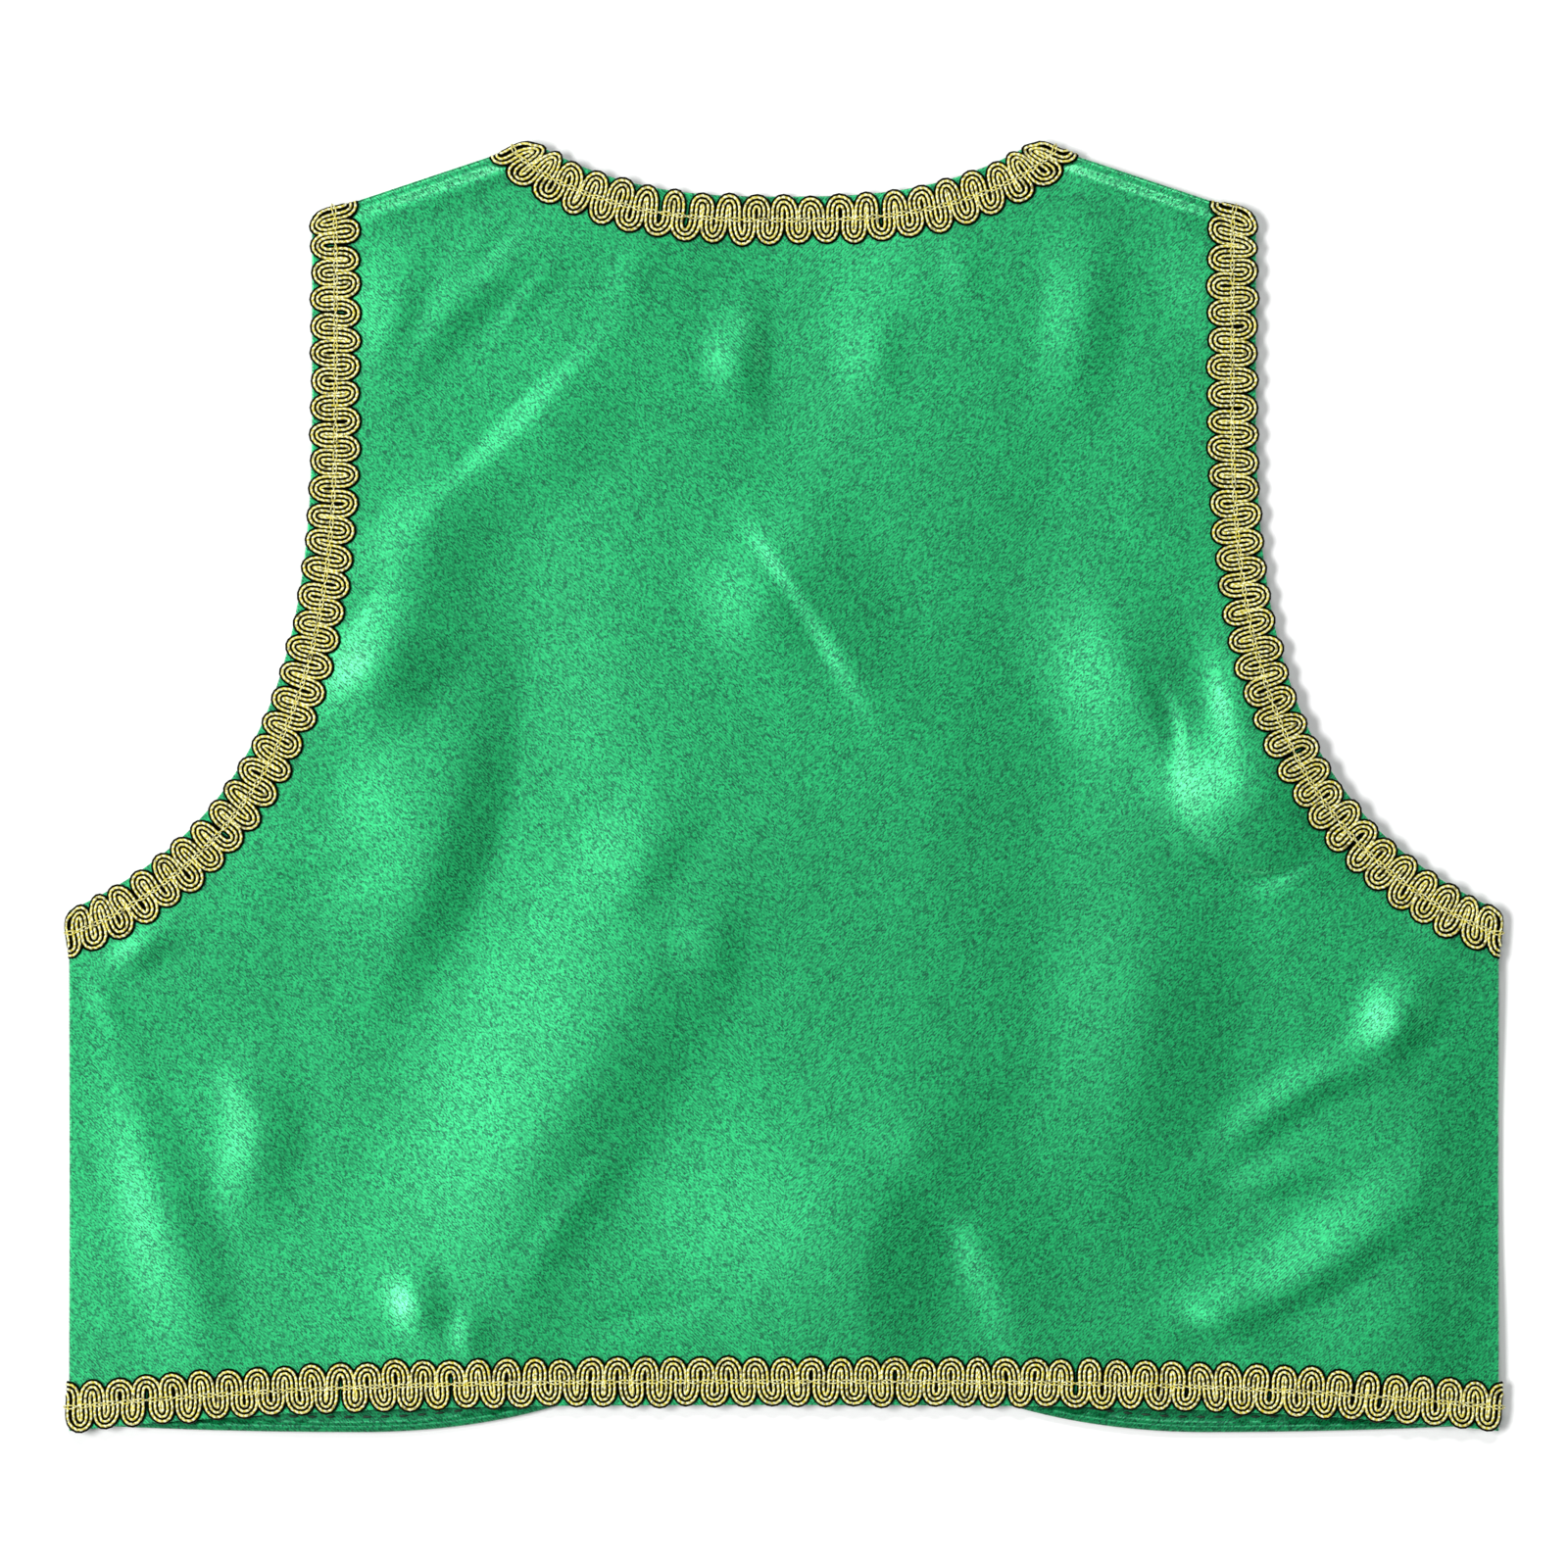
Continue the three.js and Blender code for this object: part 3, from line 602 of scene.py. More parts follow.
def foldHeight(fold, plan):
    along, across = acrossFold(fold, plan)
    rise = smooth(-fold["wide"], fold["wide"], across)
    drop = 1 - smooth(fold["wide"], fold["wide"] + fold["fall"], across)
    return fold["height"] * rise * drop * np.exp(-along ** 2)


def creaseHeight(crease, plan):
    along, across = acrossFold(crease, plan)
    return crease["height"] * np.exp(-along ** 2 - (across / crease["wide"]) ** 2)


seamFade = 24.0               # mm over which folds die away towards the sewn edges


def freeOfSeams(plan):
    x, y = abs(plan[..., 0]), plan[..., 1]
    fromTip = (cut["shoulderX"] - x) / (cut["shoulderX"] - cut["neckX"])
    fromShoulder = cut["shoulderY"] + (cut["neckY"] - cut["shoulderY"]) * fromTip - y
    nearShoulder = np.where(x > cut["neckX"], smooth(0, seamFade, fromShoulder), 1.0)
    return smooth(0, seamFade, cut["sideX"] - x) * nearShoulder


def distanceToSegment(plan, start, end):
    start, end = np.array(start, float), np.array(end, float)
    run = end - start
    share = np.clip(((plan - start) @ run) / (run @ run), 0, 1)
    return np.linalg.norm(plan - start - share[..., None] * run, axis=-1)


def distanceToSeams(plan):
    plan = np.stack([abs(plan[..., 0]), plan[..., 1]], axis=-1)
    low = cut["backHemY"] - 2 * cut["backHemDrop"]
    toSide = distanceToSegment(plan, (cut["sideX"], low), underarm)
    return np.minimum(toSide, distanceToSegment(plan, tipPoint, neckPoint))


# Heights of the solids at the corners of their facets, read from the frame.

def cornersOf(node):
    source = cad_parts[node]
    mesh = source.data
    flat = np.empty(3 * len(mesh.vertices))
    mesh.vertices.foreach_get("co", flat)
    matrix = np.array(source.matrix_world)
    return (flat.reshape(-1, 3) @ matrix[:3, :3].T + matrix[:3, 3]) / mm


sameCorner = 0.02             # mm in plan between points that are one corner of the solid


def coarseHeights(node, plan, highest):
    corners = cornersOf(node)
    heights = np.empty(plan.shape[:2])
    for row in range(plan.shape[0]):
        apart = np.linalg.norm(corners[None, :, :2] - plan[row][:, None], axis=2)
        for column in range(plan.shape[1]):
            near = apart[column] < apart[column].min() + sameCorner
            heights[row, column] = corners[near, 2].max() if highest else corners[near, 2].min()
    return heights


# A smooth surface through the heights of an even grid, read at the shares `up` and `across`.
def refine(grid, up, across):
    for shares, axis in ((up, 0), (across, 1)):
        count = grid.shape[axis] - 1
        place = np.clip(shares * count, 0, count - 1e-9)
        first = place.astype(int)
        t = place - first
        rows = [np.take(grid, np.clip(first + step, 0, count), axis) for step in (-1, 0, 1, 2)]
        t = t[:, None] if axis == 0 else t[None, :]
        a, b, c, d = rows
        grid = b + 0.5 * t * (c - a + t * (2 * a - 5 * b + 4 * c - d + t * (3 * (b - c) + d - a)))
    return grid


def evened(grid, passes):
    for turn in range(passes):
        for axis in (0, 1):
            padded = np.concatenate([grid.take([0], axis), grid, grid.take([-1], axis)], axis)
            count = padded.shape[axis]
            low, high = padded.take(range(count - 2), axis), padded.take(range(2, count), axis)
            grid = (low + 2 * grid + high) / 4
    return grid


shell = {
    "thickness": 0.6,         # mm, satin with its turned edge
    "border": (0.0, 0.1, 0.3, 0.38, 0.8, 1.4, 2.1, 2.9, 3.8, 4.8),   # mm from an edge of the finest steps
    "step": 2.1,              # mm between the others
    "roundness": (0.0, 0.75), # share of the thickness at the rim and one step in
    "backSize": (340.0, 360.0),      # mm across and up, over which the steps are counted
    "frontSize": (150.0, 350.0),
    "evenedCoarse": 2,        # passes over the back's heights, before and after they are refined
    "evenedFine": 6,
    "backSeamDrop": 0.9,      # mm that the back rolls down at a sewn seam
    "backSideWidth": 0.3,     # over this, at a side
    "frontSeamWidth": 3.2,
    "frontSeamRise": 0.3,     # mm that a front rises to meet it
    "frontAboveFloor": 0.1,
    "probeFrom": 100.0,       # mm, where a search for the cloth's height starts
    "probeNear": 3.0,         # and where it looks if it misses
}

# The back's turned edge at a shoulder seam: a narrow roll, the line of the stitches, and the cloth beyond.
shoulderTurn = {
    "above": (80.0, 110.0),   # mm in y, over which the sides' roll gives way to this one
    "from": (0.0, 0.8, 2.2, 5.0),    # mm from the seam
    "drop": (0.9, 0.45, 0.75, 0.0),
    "puff": 0.6,
    "puffIn": 5.5,
    "puffWidth": 3.5,
    "puffStart": (0.1, 0.35), # as shares of the shoulder from its tip
    "puffEnd": (0.72, 0.95),
}


def sharesAlong(length, corners):
    border, step = np.array(shell["border"]), shell["step"]
    marks = [0, *corners, 1]
    shares = []
    for low, high in zip(marks, marks[1:]):
        count = max(1, round((high - low) * length / step))
        shares.extend(np.linspace(low, high, count + 1)[:-1])
    clear = border[-1] + step / 2
    inner = [share for share in shares if clear < share * length < length - clear]
    return np.array(sorted([*(border / length), *inner, *(1 - border / length)]))


def indexOf(grid):            # the numbers of a grid's points, row by row
    return np.arange(grid.shape[0] * grid.shape[1]).reshape(grid.shape[:2])


def quadsOf(index, flipped=False):
    ring = [index[:-1, :-1], index[:-1, 1:], index[1:, 1:], index[1:, :-1]]
    return np.stack(ring[::-1] if flipped else ring, axis=-1).reshape(-1, 4)


def addUv(mesh, name, values):
    corners = np.empty(len(mesh.loops), dtype=int)
    mesh.loops.foreach_get("vertex_index", corners)
    mesh.uv_layers.new(name=name).data.foreach_set("uv", values[corners].reshape(-1))


# A closed shell of cloth under the heights `top`; `faces` are the materials of its upper and lower side.
def makeShell(name, plan, top, faces):
    r, c = np.indices(top.shape)
    fromRim = np.minimum.reduce([r, c, top.shape[0] - 1 - r, top.shape[1] - 1 - c])
    roundness = np.array([*shell["roundness"], 1.0])
    half = shell["thickness"] / 2 * roundness[np.clip(fromRim, 0, len(roundness) - 1)]
    middle = top - shell["thickness"] / 2
    upper = np.dstack([plan, middle + half]).reshape(-1, 3)
    inside = (fromRim > 0).reshape(-1)
    lower = np.dstack([plan, middle - half]).reshape(-1, 3)[inside]
    points = np.vstack([upper, lower])
    upperIndex = indexOf(top)
    lowerIndex = upperIndex.copy().reshape(-1)
    lowerIndex[inside] = top.size + np.arange(inside.sum())
    quadsUp, quadsDown = quadsOf(upperIndex), quadsOf(lowerIndex.reshape(top.shape), flipped=True)
    mesh = bpy.data.meshes.new(name)
    mesh.from_pydata((points * mm).tolist(), [], np.vstack([quadsUp, quadsDown]).tolist())
    addUv(mesh, "cloth", points[:, :2] * mm)
    mesh.polygons.foreach_set("use_smooth", np.ones(len(mesh.polygons), dtype=bool))
    mesh.polygons.foreach_set("material_index", np.repeat([0, 1], [len(quadsUp), len(quadsDown)]))
    for material in faces:
        mesh.materials.append(material)
    mesh.update()
    return addObject(name, mesh)


# The same cloth as a plain grid, from which heights are read.
def surfaceTree(plan, heights):
    points = np.dstack([plan, heights]).reshape(-1, 3)
    return BVHTree.FromPolygons(points.tolist(), quadsOf(indexOf(heights)).tolist())


def heightAt(tree, x, y):
    found = tree.ray_cast(Vector((x, y, shell["probeFrom"])), Vector((0, 0, -1)))[0]
    if found is None:
        found = tree.find_nearest(Vector((x, y, shell["probeNear"])))[0]
    return found.z


# The fronts, wrong side up, with their turned hem.

hemTurn = {
    "width": 2.6,             # mm, the rolled edge of a front's hem
    "height": 1.0,
    "fullness": 0.7,          # under 1, the roll is fuller than half a wave
    "stitchIn": 4.3,          # mm from the edge to the row of stitches
    "stitchPitch": 5.0,
    "stitchLength": 2.8,
    "stitchRadius": 0.38,
    "stitchLift": 0.05,
    "dip": 0.25,              # mm that the stitches pull the cloth down
    "dipWidth": 1.2,
    "lowest": -0.1,
    "steps": 120,             # points along the hem
}

frontAcross = sharesAlong(shell["frontSize"][0], [])
frontUp = sharesAlong(shell["frontSize"][1], [cornerPart / frontRows, frontSidePart / frontRows])
frontPlan = blendSheet(frontEdges, frontAcross, frontUp)


def onSolid(edges, columns, rows):    # the plan of the solids' grid
    return blendSheet(edges, np.linspace(0, 1, columns + 1), np.linspace(0, 1, rows + 1))


frontPlanCoarse = onSolid(frontEdges, frontColumns, frontRows)


def distanceToLine(plan, line):
    line = evenly(line, hemTurn["steps"])
    nearest = np.full(plan.shape[:-1], np.inf)
    for start, end in zip(line, line[1:]):
        nearest = np.minimum(nearest, distanceToSegment(plan, start, end))
    return nearest


def facing(grid, sign):       # the right front's grid, run the other way for the left one
    return grid if sign > 0 else grid[:, ::-1]


fromFrontHem = distanceToLine(frontPlan, frontHemLine())
hemWave = np.sin(np.clip(fromFrontHem / hemTurn["width"], 0, 1) * math.pi)
fromStitches = (fromFrontHem - hemTurn["stitchIn"]) / hemTurn["dipWidth"]
hemRoll = hemTurn["height"] * hemWave ** hemTurn["fullness"] - hemTurn["dip"] * np.exp(-fromStitches ** 2)
coarseUnder = evened(coarseHeights("front_panel_right", frontPlanCoarse, highest=False), 1)
frontUnder = np.maximum(refine(coarseUnder, frontUp, frontAcross), shell["frontAboveFloor"])
seamRise = shell["frontSeamRise"] * (1 - smooth(0, shell["frontSeamWidth"], distanceToSeams(frontPlan)))
frontTop = frontUnder + shell["thickness"] + seamRise
frontTopSeen = frontTop + np.maximum(hemRoll, hemTurn["lowest"])

frontPanels, frontTrees = {}, {}
for hand, sign in hands.items():
    plan = facing(frontPlan * np.array([sign, 1.0]), sign)
    heights, under = facing(frontTopSeen, sign), facing(frontTop - shell["thickness"], sign)
    frontPanels[hand] = makeShell("satin_front_" + hand, plan, heights, (satinInsidePaintedShade, satin))
    frontTrees[hand] = {"under": surfaceTree(plan, under), "top": surfaceTree(plan, heights)}
print("fronts made")


# The back, right side up, with its folds.

backAcross = sharesAlong(
    shell["backSize"][0],
    [shoulderPart / backColumns, (shoulderPart + neckPart) / backColumns],
)
backUp = sharesAlong(shell["backSize"][1], [sidePart / backRows])
backPlan = blendSheet(backEdges, backAcross, backUp)
backPlanCoarse = onSolid(backEdges, backColumns, backRows)
raisedCoarse = sum(foldHeight(fold, backPlanCoarse) for fold in folds)
settledCoarse = coarseHeights("back_panel", backPlanCoarse, highest=True)
settledCoarse = settledCoarse - freeOfSeams(backPlanCoarse) * raisedCoarse
settled = refine(evened(settledCoarse, shell["evenedCoarse"]), backUp, backAcross)
settled = evened(settled, shell["evenedFine"])
raised = sum(foldHeight(fold, backPlan) for fold in folds)
raised = raised + sum(foldHeight(fold, backPlan) for fold in smallFolds)
raised = raised + sum(creaseHeight(crease, backPlan) for crease in creases)
fromSeams = distanceToSeams(backPlan)
onShoulder = smooth(*shoulderTurn["above"], backPlan[..., 1])
rolled = shell["backSeamDrop"] * (1 - onShoulder) * (1 - smooth(0, shell["backSideWidth"], fromSeams))
rolled = rolled + onShoulder * np.interp(fromSeams, shoulderTurn["from"], shoulderTurn["drop"])
alongPuff = (cut["shoulderX"] - abs(backPlan[..., 0])) / (cut["shoulderX"] - cut["neckX"])
acrossPuff = (fromSeams - shoulderTurn["puffIn"]) / shoulderTurn["puffWidth"]
puffed = shoulderTurn["puff"] * onShoulder * np.exp(-acrossPuff ** 2)
puffed = puffed * smooth(*shoulderTurn["puffStart"], alongPuff)
puffed = puffed * (1 - smooth(*shoulderTurn["puffEnd"], alongPuff))
backTop = settled + freeOfSeams(backPlan) * raised + puffed - rolled
backPanel = makeShell("satin_back", backPlan, backTop, (satin, satinInsidePaintedShade))
backTree = surfaceTree(backPlan, settled + freeOfSeams(backPlan) * raised)
print("back made", backTop.min().round(2), backTop.max().round(2))


# Scroll gimp: three cords laid side by side loop from one edge of the braid to the other, and two fine
# threads bind them along the middle. Dark threads beside and between the cords are painted shade. Each braid
# follows a ribbon that lies on the cloth.

gimp = {
    "width": 14.0,            # mm
    "pitch": 7.7,             # mm from one loop to the next
    "reach": 5.1,             # mm from the middle to the turn of the middle cord
    "swell": 0.8,             # mm by which a loop is fuller than its neck
    "outset": 0.35,           # mm that the loops stand out past the cloth's edge
    "cords": 3,
    "cordApart": 1.32,
    "cordRadius": 0.5,
    "lift": 0.12,             # mm between the cloth and the cords
    "pinch": 0.14,            # mm that the binding presses the cords down
    # Painted shade: dark threads that fill the gaps beside and between the cords.
    "shadeThreadApart": 0.96,      # share of cordApart between the dark threads beside and between the cords
    "shadeThreadRadius": 0.38,
    "shadeThreadSides": 4,
    "threadRadius": 0.2,
    "threadSway": 0.5,
    "threadRest": 0.2,        # share of its radius that a binding thread stands above the cords
    "threadPass": 0.5,        # and by which one passes over the other
    "threadDip": 0.9,         # share of a cord's radius that a binding thread sinks between two cords
    "threadSteps": 12.0,      # to a loop
    "threadSides": 5,
    # Painted shade: the binding threads are darker below.
    "threadCrown": (0.6, 1.0),       # how bright the binding threads are below and on top
    "uneven": 1.0,            # mm
    "unevenRate": 1.7,        # per loop
    "unevenAcross": 0.8,      # share of it across the braid
    "unevenApart": 50.0,      # loops between the noise along and the noise across
    "stepsPerLoop": 26,
    "sides": 8,
    "skewOver": 11.5,         # mm over which an end turns to run along a fold
    "foldRadius": 2.1,        # mm of the turn round a fold, from one row inside it
    "bunch": 0.16,            # share of a loop that the ends are pushed together
    "seed": 3.0,
}
hiddenGimp = {
    **gimp,
    "outset": -0.7,
    "stepsPerLoop": 16,
    "sides": 6,
    "shadeThreadRadius": 0.2,
    "threadRadius": 0.14,
    "lift": 0.02,
}
ribbonWay = {
    "step": 1.0,              # mm
    "columns": 9,
    "spare": 2.6,             # mm of ribbon past each end of the cords
    "margin": 0.6,            # and past each side
    "restsFrom": 0.5,         # mm inside the edge, where the outermost points read the cloth's height
    "evenings": 6,            # passes that fill the hollows under the ribbon
    "foldStep": 15,           # degrees
    "downSteps": 4,           # from the turn round a fold to just above the floor
    "aboveFloor": 0.5,
}


def unit(ways):
    return ways / np.linalg.norm(ways, axis=1)[:, None]


def leftOf(line):             # the level way out of a line, to its left
    run = unit(np.gradient(line, axis=0))
    return np.column_stack([-run[:, 1], run[:, 0]])


# A ribbon along an edge: rows of points from the edge inwards, and the way out of the cloth at each.
# cloth is 1 where the cloth lies left of the run. At its two ends, ends are the ways along the sewn folds,
# and wraps the ways out over them.
def ribbonRows(line, cloth, height, outward, ends, wraps, outset):
    edge = evenly(line, round(lengthOf(line) / ribbonWay["step"]))
    inward = leftOf(edge) * cloth
    length = lengthOf(edge)
    distance = np.linspace(0, length, len(edge))
    across = inward.copy()
    for fold, far in zip(ends, (distance, length - distance)):
        share = np.clip(1 - far / gimp["skewOver"], 0, 1)[:, None]
        across = np.where(share > 0, unit(inward * (1 - share) + fold * share), across)
    outermost = -outset - ribbonWay["margin"]
    innermost = outermost + gimp["width"] + 2 * ribbonWay["margin"]
    widths = np.linspace(outermost, innermost, ribbonWay["columns"])
    seenFrom = np.clip(widths, ribbonWay["restsFrom"], None)
    rows = []
    for place, way in zip(edge, across):
        plan = place + widths[:, None] * way
        seen = place + seenFrom[:, None] * way
        rows.append([(x, y, height(*at)) for (x, y), at in zip(plan, seen)])
    rows = np.array(rows)
    smoothed = rows[..., 2].copy()
    for turn in range(ribbonWay["evenings"]):
        smoothed[1:-1] = (smoothed[:-2] + 2 * smoothed[1:-1] + smoothed[2:]) / 4
    outermostOf = np.maximum if outward > 0 else np.minimum
    rows[..., 2] = outermostOf(rows[..., 2], smoothed)
    ways = np.zeros_like(rows)
    ways[..., 2] = outward
    if wraps:
        first, firstWays = wrapRows(rows[1], wraps[0])
        last, lastWays = wrapRows(rows[-2], wraps[1])
        rows = np.vstack([first[::-1], rows[1:-1], last])
        ways = np.vstack([firstWays[::-1], ways[1:-1], lastWays])
    return rows, ways


# The ribbon's way over a sewn fold and down in front of the two layers of cloth.
def wrapRows(last, out):
    out = np.array([*out, 0.0])
    upward = np.array([0.0, 0.0, 1.0])
    radius = gimp["foldRadius"]
    rows, ways = [], []
    for degrees in range(ribbonWay["foldStep"], 91, ribbonWay["foldStep"]):
        angle = math.radians(degrees)
        shift = radius * math.sin(angle) * out + radius * (math.cos(angle) - 1) * upward
        rows.append(last + shift)
        ways.append(np.tile(math.sin(angle) * out + math.cos(angle) * upward, (len(last), 1)))
    bottom = rows[-1]
    drop = bottom[:, 2].mean() - ribbonWay["aboveFloor"]
    for step in range(1, ribbonWay["downSteps"] + 1):
        rows.append(bottom - upward * drop * step / ribbonWay["downSteps"])
        ways.append(np.tile(out, (len(last), 1)))
    return np.array(rows), np.array(ways)


def makeRibbon(rows, ways):
    count, columns = rows.shape[:2]
    mesh = bpy.data.meshes.new("ribbon")
    mesh.from_pydata((rows.reshape(-1, 3) * mm).tolist(), [], quadsOf(indexOf(rows)).tolist())
    runs = runsOf(rows[:, columns // 2])
    u = np.repeat(runs / runs[-1], columns)
    v = np.tile(np.linspace(0, 1, columns), count)
    addUv(mesh, "ribbon", np.column_stack([u, v]))
    attribute = mesh.attributes.new("outward", "FLOAT_VECTOR", "POINT")
    attribute.data.foreach_set("vector", ways.reshape(-1))
    mesh.update()
    return addObject("ribbon", mesh), float(runs[-1])


# A node tree with named inputs, by kind of socket, and the two steps that each tree starts and ends with.
def newTree(name, sockets, result):
    tree = bpy.data.node_groups.new(name, "GeometryNodeTree")
    for kind, labels in sockets.items():
        for label in labels:
            tree.interface.new_socket(name=label, in_out="INPUT", socket_type="NodeSocket" + kind)
    tree.interface.new_socket(name=result, in_out="OUTPUT", socket_type="NodeSocketGeometry")
    graph = Graph(tree)
    given = graph.node("NodeGroupInput")
    return graph, {label: graph.out(given, label) for labels in sockets.values() for label in labels}


def finishTree(graph, whole, material, result):
    whole = graph.wire("GeometryNodeRealizeInstances", None, {"Geometry": whole})
    whole = graph.wire("GeometryNodeSetShadeSmooth", None, {"Geometry": whole})
    whole = graph.wire("GeometryNodeSetMaterial", None, {"Geometry": whole, "Material": material})
    graph.node("NodeGroupOutput", None, {result: whole})
    return graph.tree


gimpLengths = (
    "width", "pitch", "reach", "swell", "cordApart", "cordRadius", "lift", "pinch", "shadeThreadRadius",
    "threadRadius", "threadSway", "uneven",
)


def scrollTree(name):
    graph, value = newTree(name, {
        "Geometry": ("ribbon",),
        "Float": ("length", "start", "bunch", "seed", *gimpLengths),
        "Int": ("loops", "stepsPerLoop", "sides"),
        "Material": ("yarn",),
    }, "braid")

    def named(key, kind="FLOAT"):
        return graph.wire("GeometryNodeInputNamedAttribute", {"data_type": kind}, {"Name": key})

    def keep(geometry, key, field, kind="FLOAT"):
        settings = {"data_type": kind, "domain": "POINT"}
        inputs = {"Geometry": geometry, "Name": key, "Value": field}
        return graph.wire("GeometryNodeStoreNamedAttribute", settings, inputs)

    def onRibbon(field, place):
        return graph.wire("GeometryNodeSampleUVSurface", {"data_type": "FLOAT_VECTOR"}, {
            "Mesh": value["ribbon"],
            "Value": field,
            "Source UV Map": named("ribbon", "FLOAT_VECTOR"),
            "Sample UV": place,
        }, "Value")

    def strand(flatX, flatY, height, radius, sides, count, crown):
        inputs = {"Count": count, "Offset": (mm, 0.0, 0.0)}
        line = graph.wire("GeometryNodeMeshLine", {"mode": "OFFSET"}, inputs)
        curve = graph.wire("GeometryNodeMeshToCurve", None, {"Mesh": line})
        place = graph.vector(flatX / value["length"], flatY / value["width"] + 0.5, 0.0)
        outward = graph.vectorMaths("NORMALIZE", onRibbon(named("outward", "FLOAT_VECTOR"), place))
        base = onRibbon(graph.wire("GeometryNodeInputPosition"), place)
        curve = keep(curve, "outward", outward, "FLOAT_VECTOR")
        moved = graph.vectorMaths("ADD", base, graph.vectorMaths("SCALE", outward, height))
        curve = graph.wire("GeometryNodeSetPosition", None, {"Geometry": curve, "Position": moved})
        inputs = {"Curve": curve, "Normal": named("outward", "FLOAT_VECTOR")}
        curve = graph.wire("GeometryNodeSetCurveNormal", {"mode": "FREE"}, inputs)
        curve = keep(curve, "along", graph.wire("GeometryNodeSplineParameter", key="Length"))
        inputs = {"Resolution": sides, "Radius": radius}
        ring = graph.wire("GeometryNodeCurvePrimitiveCircle", {"mode": "RADIUS"}, inputs)
        turn = graph.wire("GeometryNodeInputIndex") * (2 * math.pi) / sides
        ring = keep(ring, "sineTurn", turn.maths("SINE"))
        ring = keep(ring, "cosineTurn", turn.maths("COSINE"))
        inputs = {"Curve": curve, "Profile Curve": ring, "Fill Caps": True}
        tube = graph.wire("GeometryNodeCurveToMesh", None, inputs)
        # How far each point faces outwards, which the yarn uses for its painted shade.
        normal = graph.wire("GeometryNodeInputNormal")
        towards = graph.vectorMaths("DOT_PRODUCT", normal, named("outward", "FLOAT_VECTOR"), key="Value")
        return keep(tube, "crown", towards * (crown[1] - crown[0]) + crown[0])

    join = graph.node("GeometryNodeJoinGeometry")
    index = graph.wire("GeometryNodeInputIndex")

    def wander(place, offset):
        made = graph.wire("ShaderNodeTexNoise", {"noise_dimensions": "1D"}, {
            "W": place * gimp["unevenRate"] + value["seed"] + offset,
            "Scale": 1.0,
            "Detail": 1.0,
        }, "Fac")
        return (made - 0.5) * value["uneven"] * 2.0

    loops = index / value["stepsPerLoop"]
    phase = loops * (2 * math.pi)
    early, late = (loops * -1.0).maths("EXPONENT"), (loops - value["loops"]).maths("EXPONENT")
    bunched = loops + (early - late) * value["bunch"]
    centreX = value["start"] + bunched * value["pitch"] + value["swell"] * (phase * 2.0).maths("SINE")
    centreX = centreX + wander(loops, 0.0)
    strayY = wander(loops, gimp["unevenApart"]) * gimp["unevenAcross"]
    centreY = value["reach"] * phase.maths("COSINE") + strayY
    runX = value["pitch"] + value["swell"] * (4 * math.pi) * (phase * 2.0).maths("COSINE")
    runY = value["reach"] * (-2 * math.pi) * phase.maths("SINE")
    size = (runX * runX + runY * runY).maths("SQRT")
    pressed = value["pinch"] / (1.0 + (centreY / mm) * (centreY / mm))

    def addStrand(*shape):
        graph.tree.links.new(strand(*shape).socket, join.inputs[0])

    def beside(aside, height, radius, sides, crown):
        count = value["loops"] * value["stepsPerLoop"] + 1.0
        x, y = centreX - runY / size * aside, centreY + runX / size * aside
        addStrand(x, y, height, radius, sides, count, crown)

    for cord in range(gimp["cords"]):
        aside = value["cordApart"] * (cord - (gimp["cords"] - 1) / 2)
        height = value["lift"] + value["cordRadius"] - pressed
        beside(aside, height, value["cordRadius"], value["sides"], (0.0, 1.0))
    # Painted shade beside and between the cords: dark threads, always in the yarn's dark colour.
    for shadeThread in range(gimp["cords"] + 1):
        aside = value["cordApart"] * gimp["shadeThreadApart"] * (shadeThread - gimp["cords"] / 2)
        height = value["lift"] + value["shadeThreadRadius"]
        beside(aside, height, value["shadeThreadRadius"], gimp["shadeThreadSides"], (0.0, 0.0))

    bindLoops = index / gimp["threadSteps"]
    bindPhase = bindLoops * (2 * math.pi)
    bindX = value["start"] + bindLoops * value["pitch"]
    over = value["lift"] + value["cordRadius"] * 2.0 + value["threadRadius"] * gimp["threadRest"]
    dip = value["cordRadius"] * gimp["threadDip"] * ((bindPhase * 2.0).maths("COSINE") * 0.5 + 0.5)
    for way in (1.0, -1.0):
        y = value["threadSway"] * way * bindPhase.maths("SINE")
        height = over - dip + value["threadRadius"] * way * gimp["threadPass"]
        count = value["loops"] * gimp["threadSteps"] + 1.0
        addStrand(bindX, y, height, value["threadRadius"], gimp["threadSides"], count, gimp["threadCrown"])
    return finishTree(graph, graph.out(join), value["yarn"], "braid")


scroll = scrollTree("scrollGimp")


def applyTree(source, tree, inputs, name):
    modifier = source.modifiers.new(tree.name, "NODES")
    modifier.node_group = tree
    for item in tree.interface.items_tree:
        if item.in_out == "INPUT" and item.name in inputs:
            modifier[item.identifier] = inputs[item.name]
    evaluated = source.evaluated_get(bpy.context.evaluated_depsgraph_get())
    mesh = bpy.data.meshes.new_from_object(evaluated)
    mesh.name = name
    piece = addObject(name, mesh)
    bpy.data.objects.remove(source)
    return piece


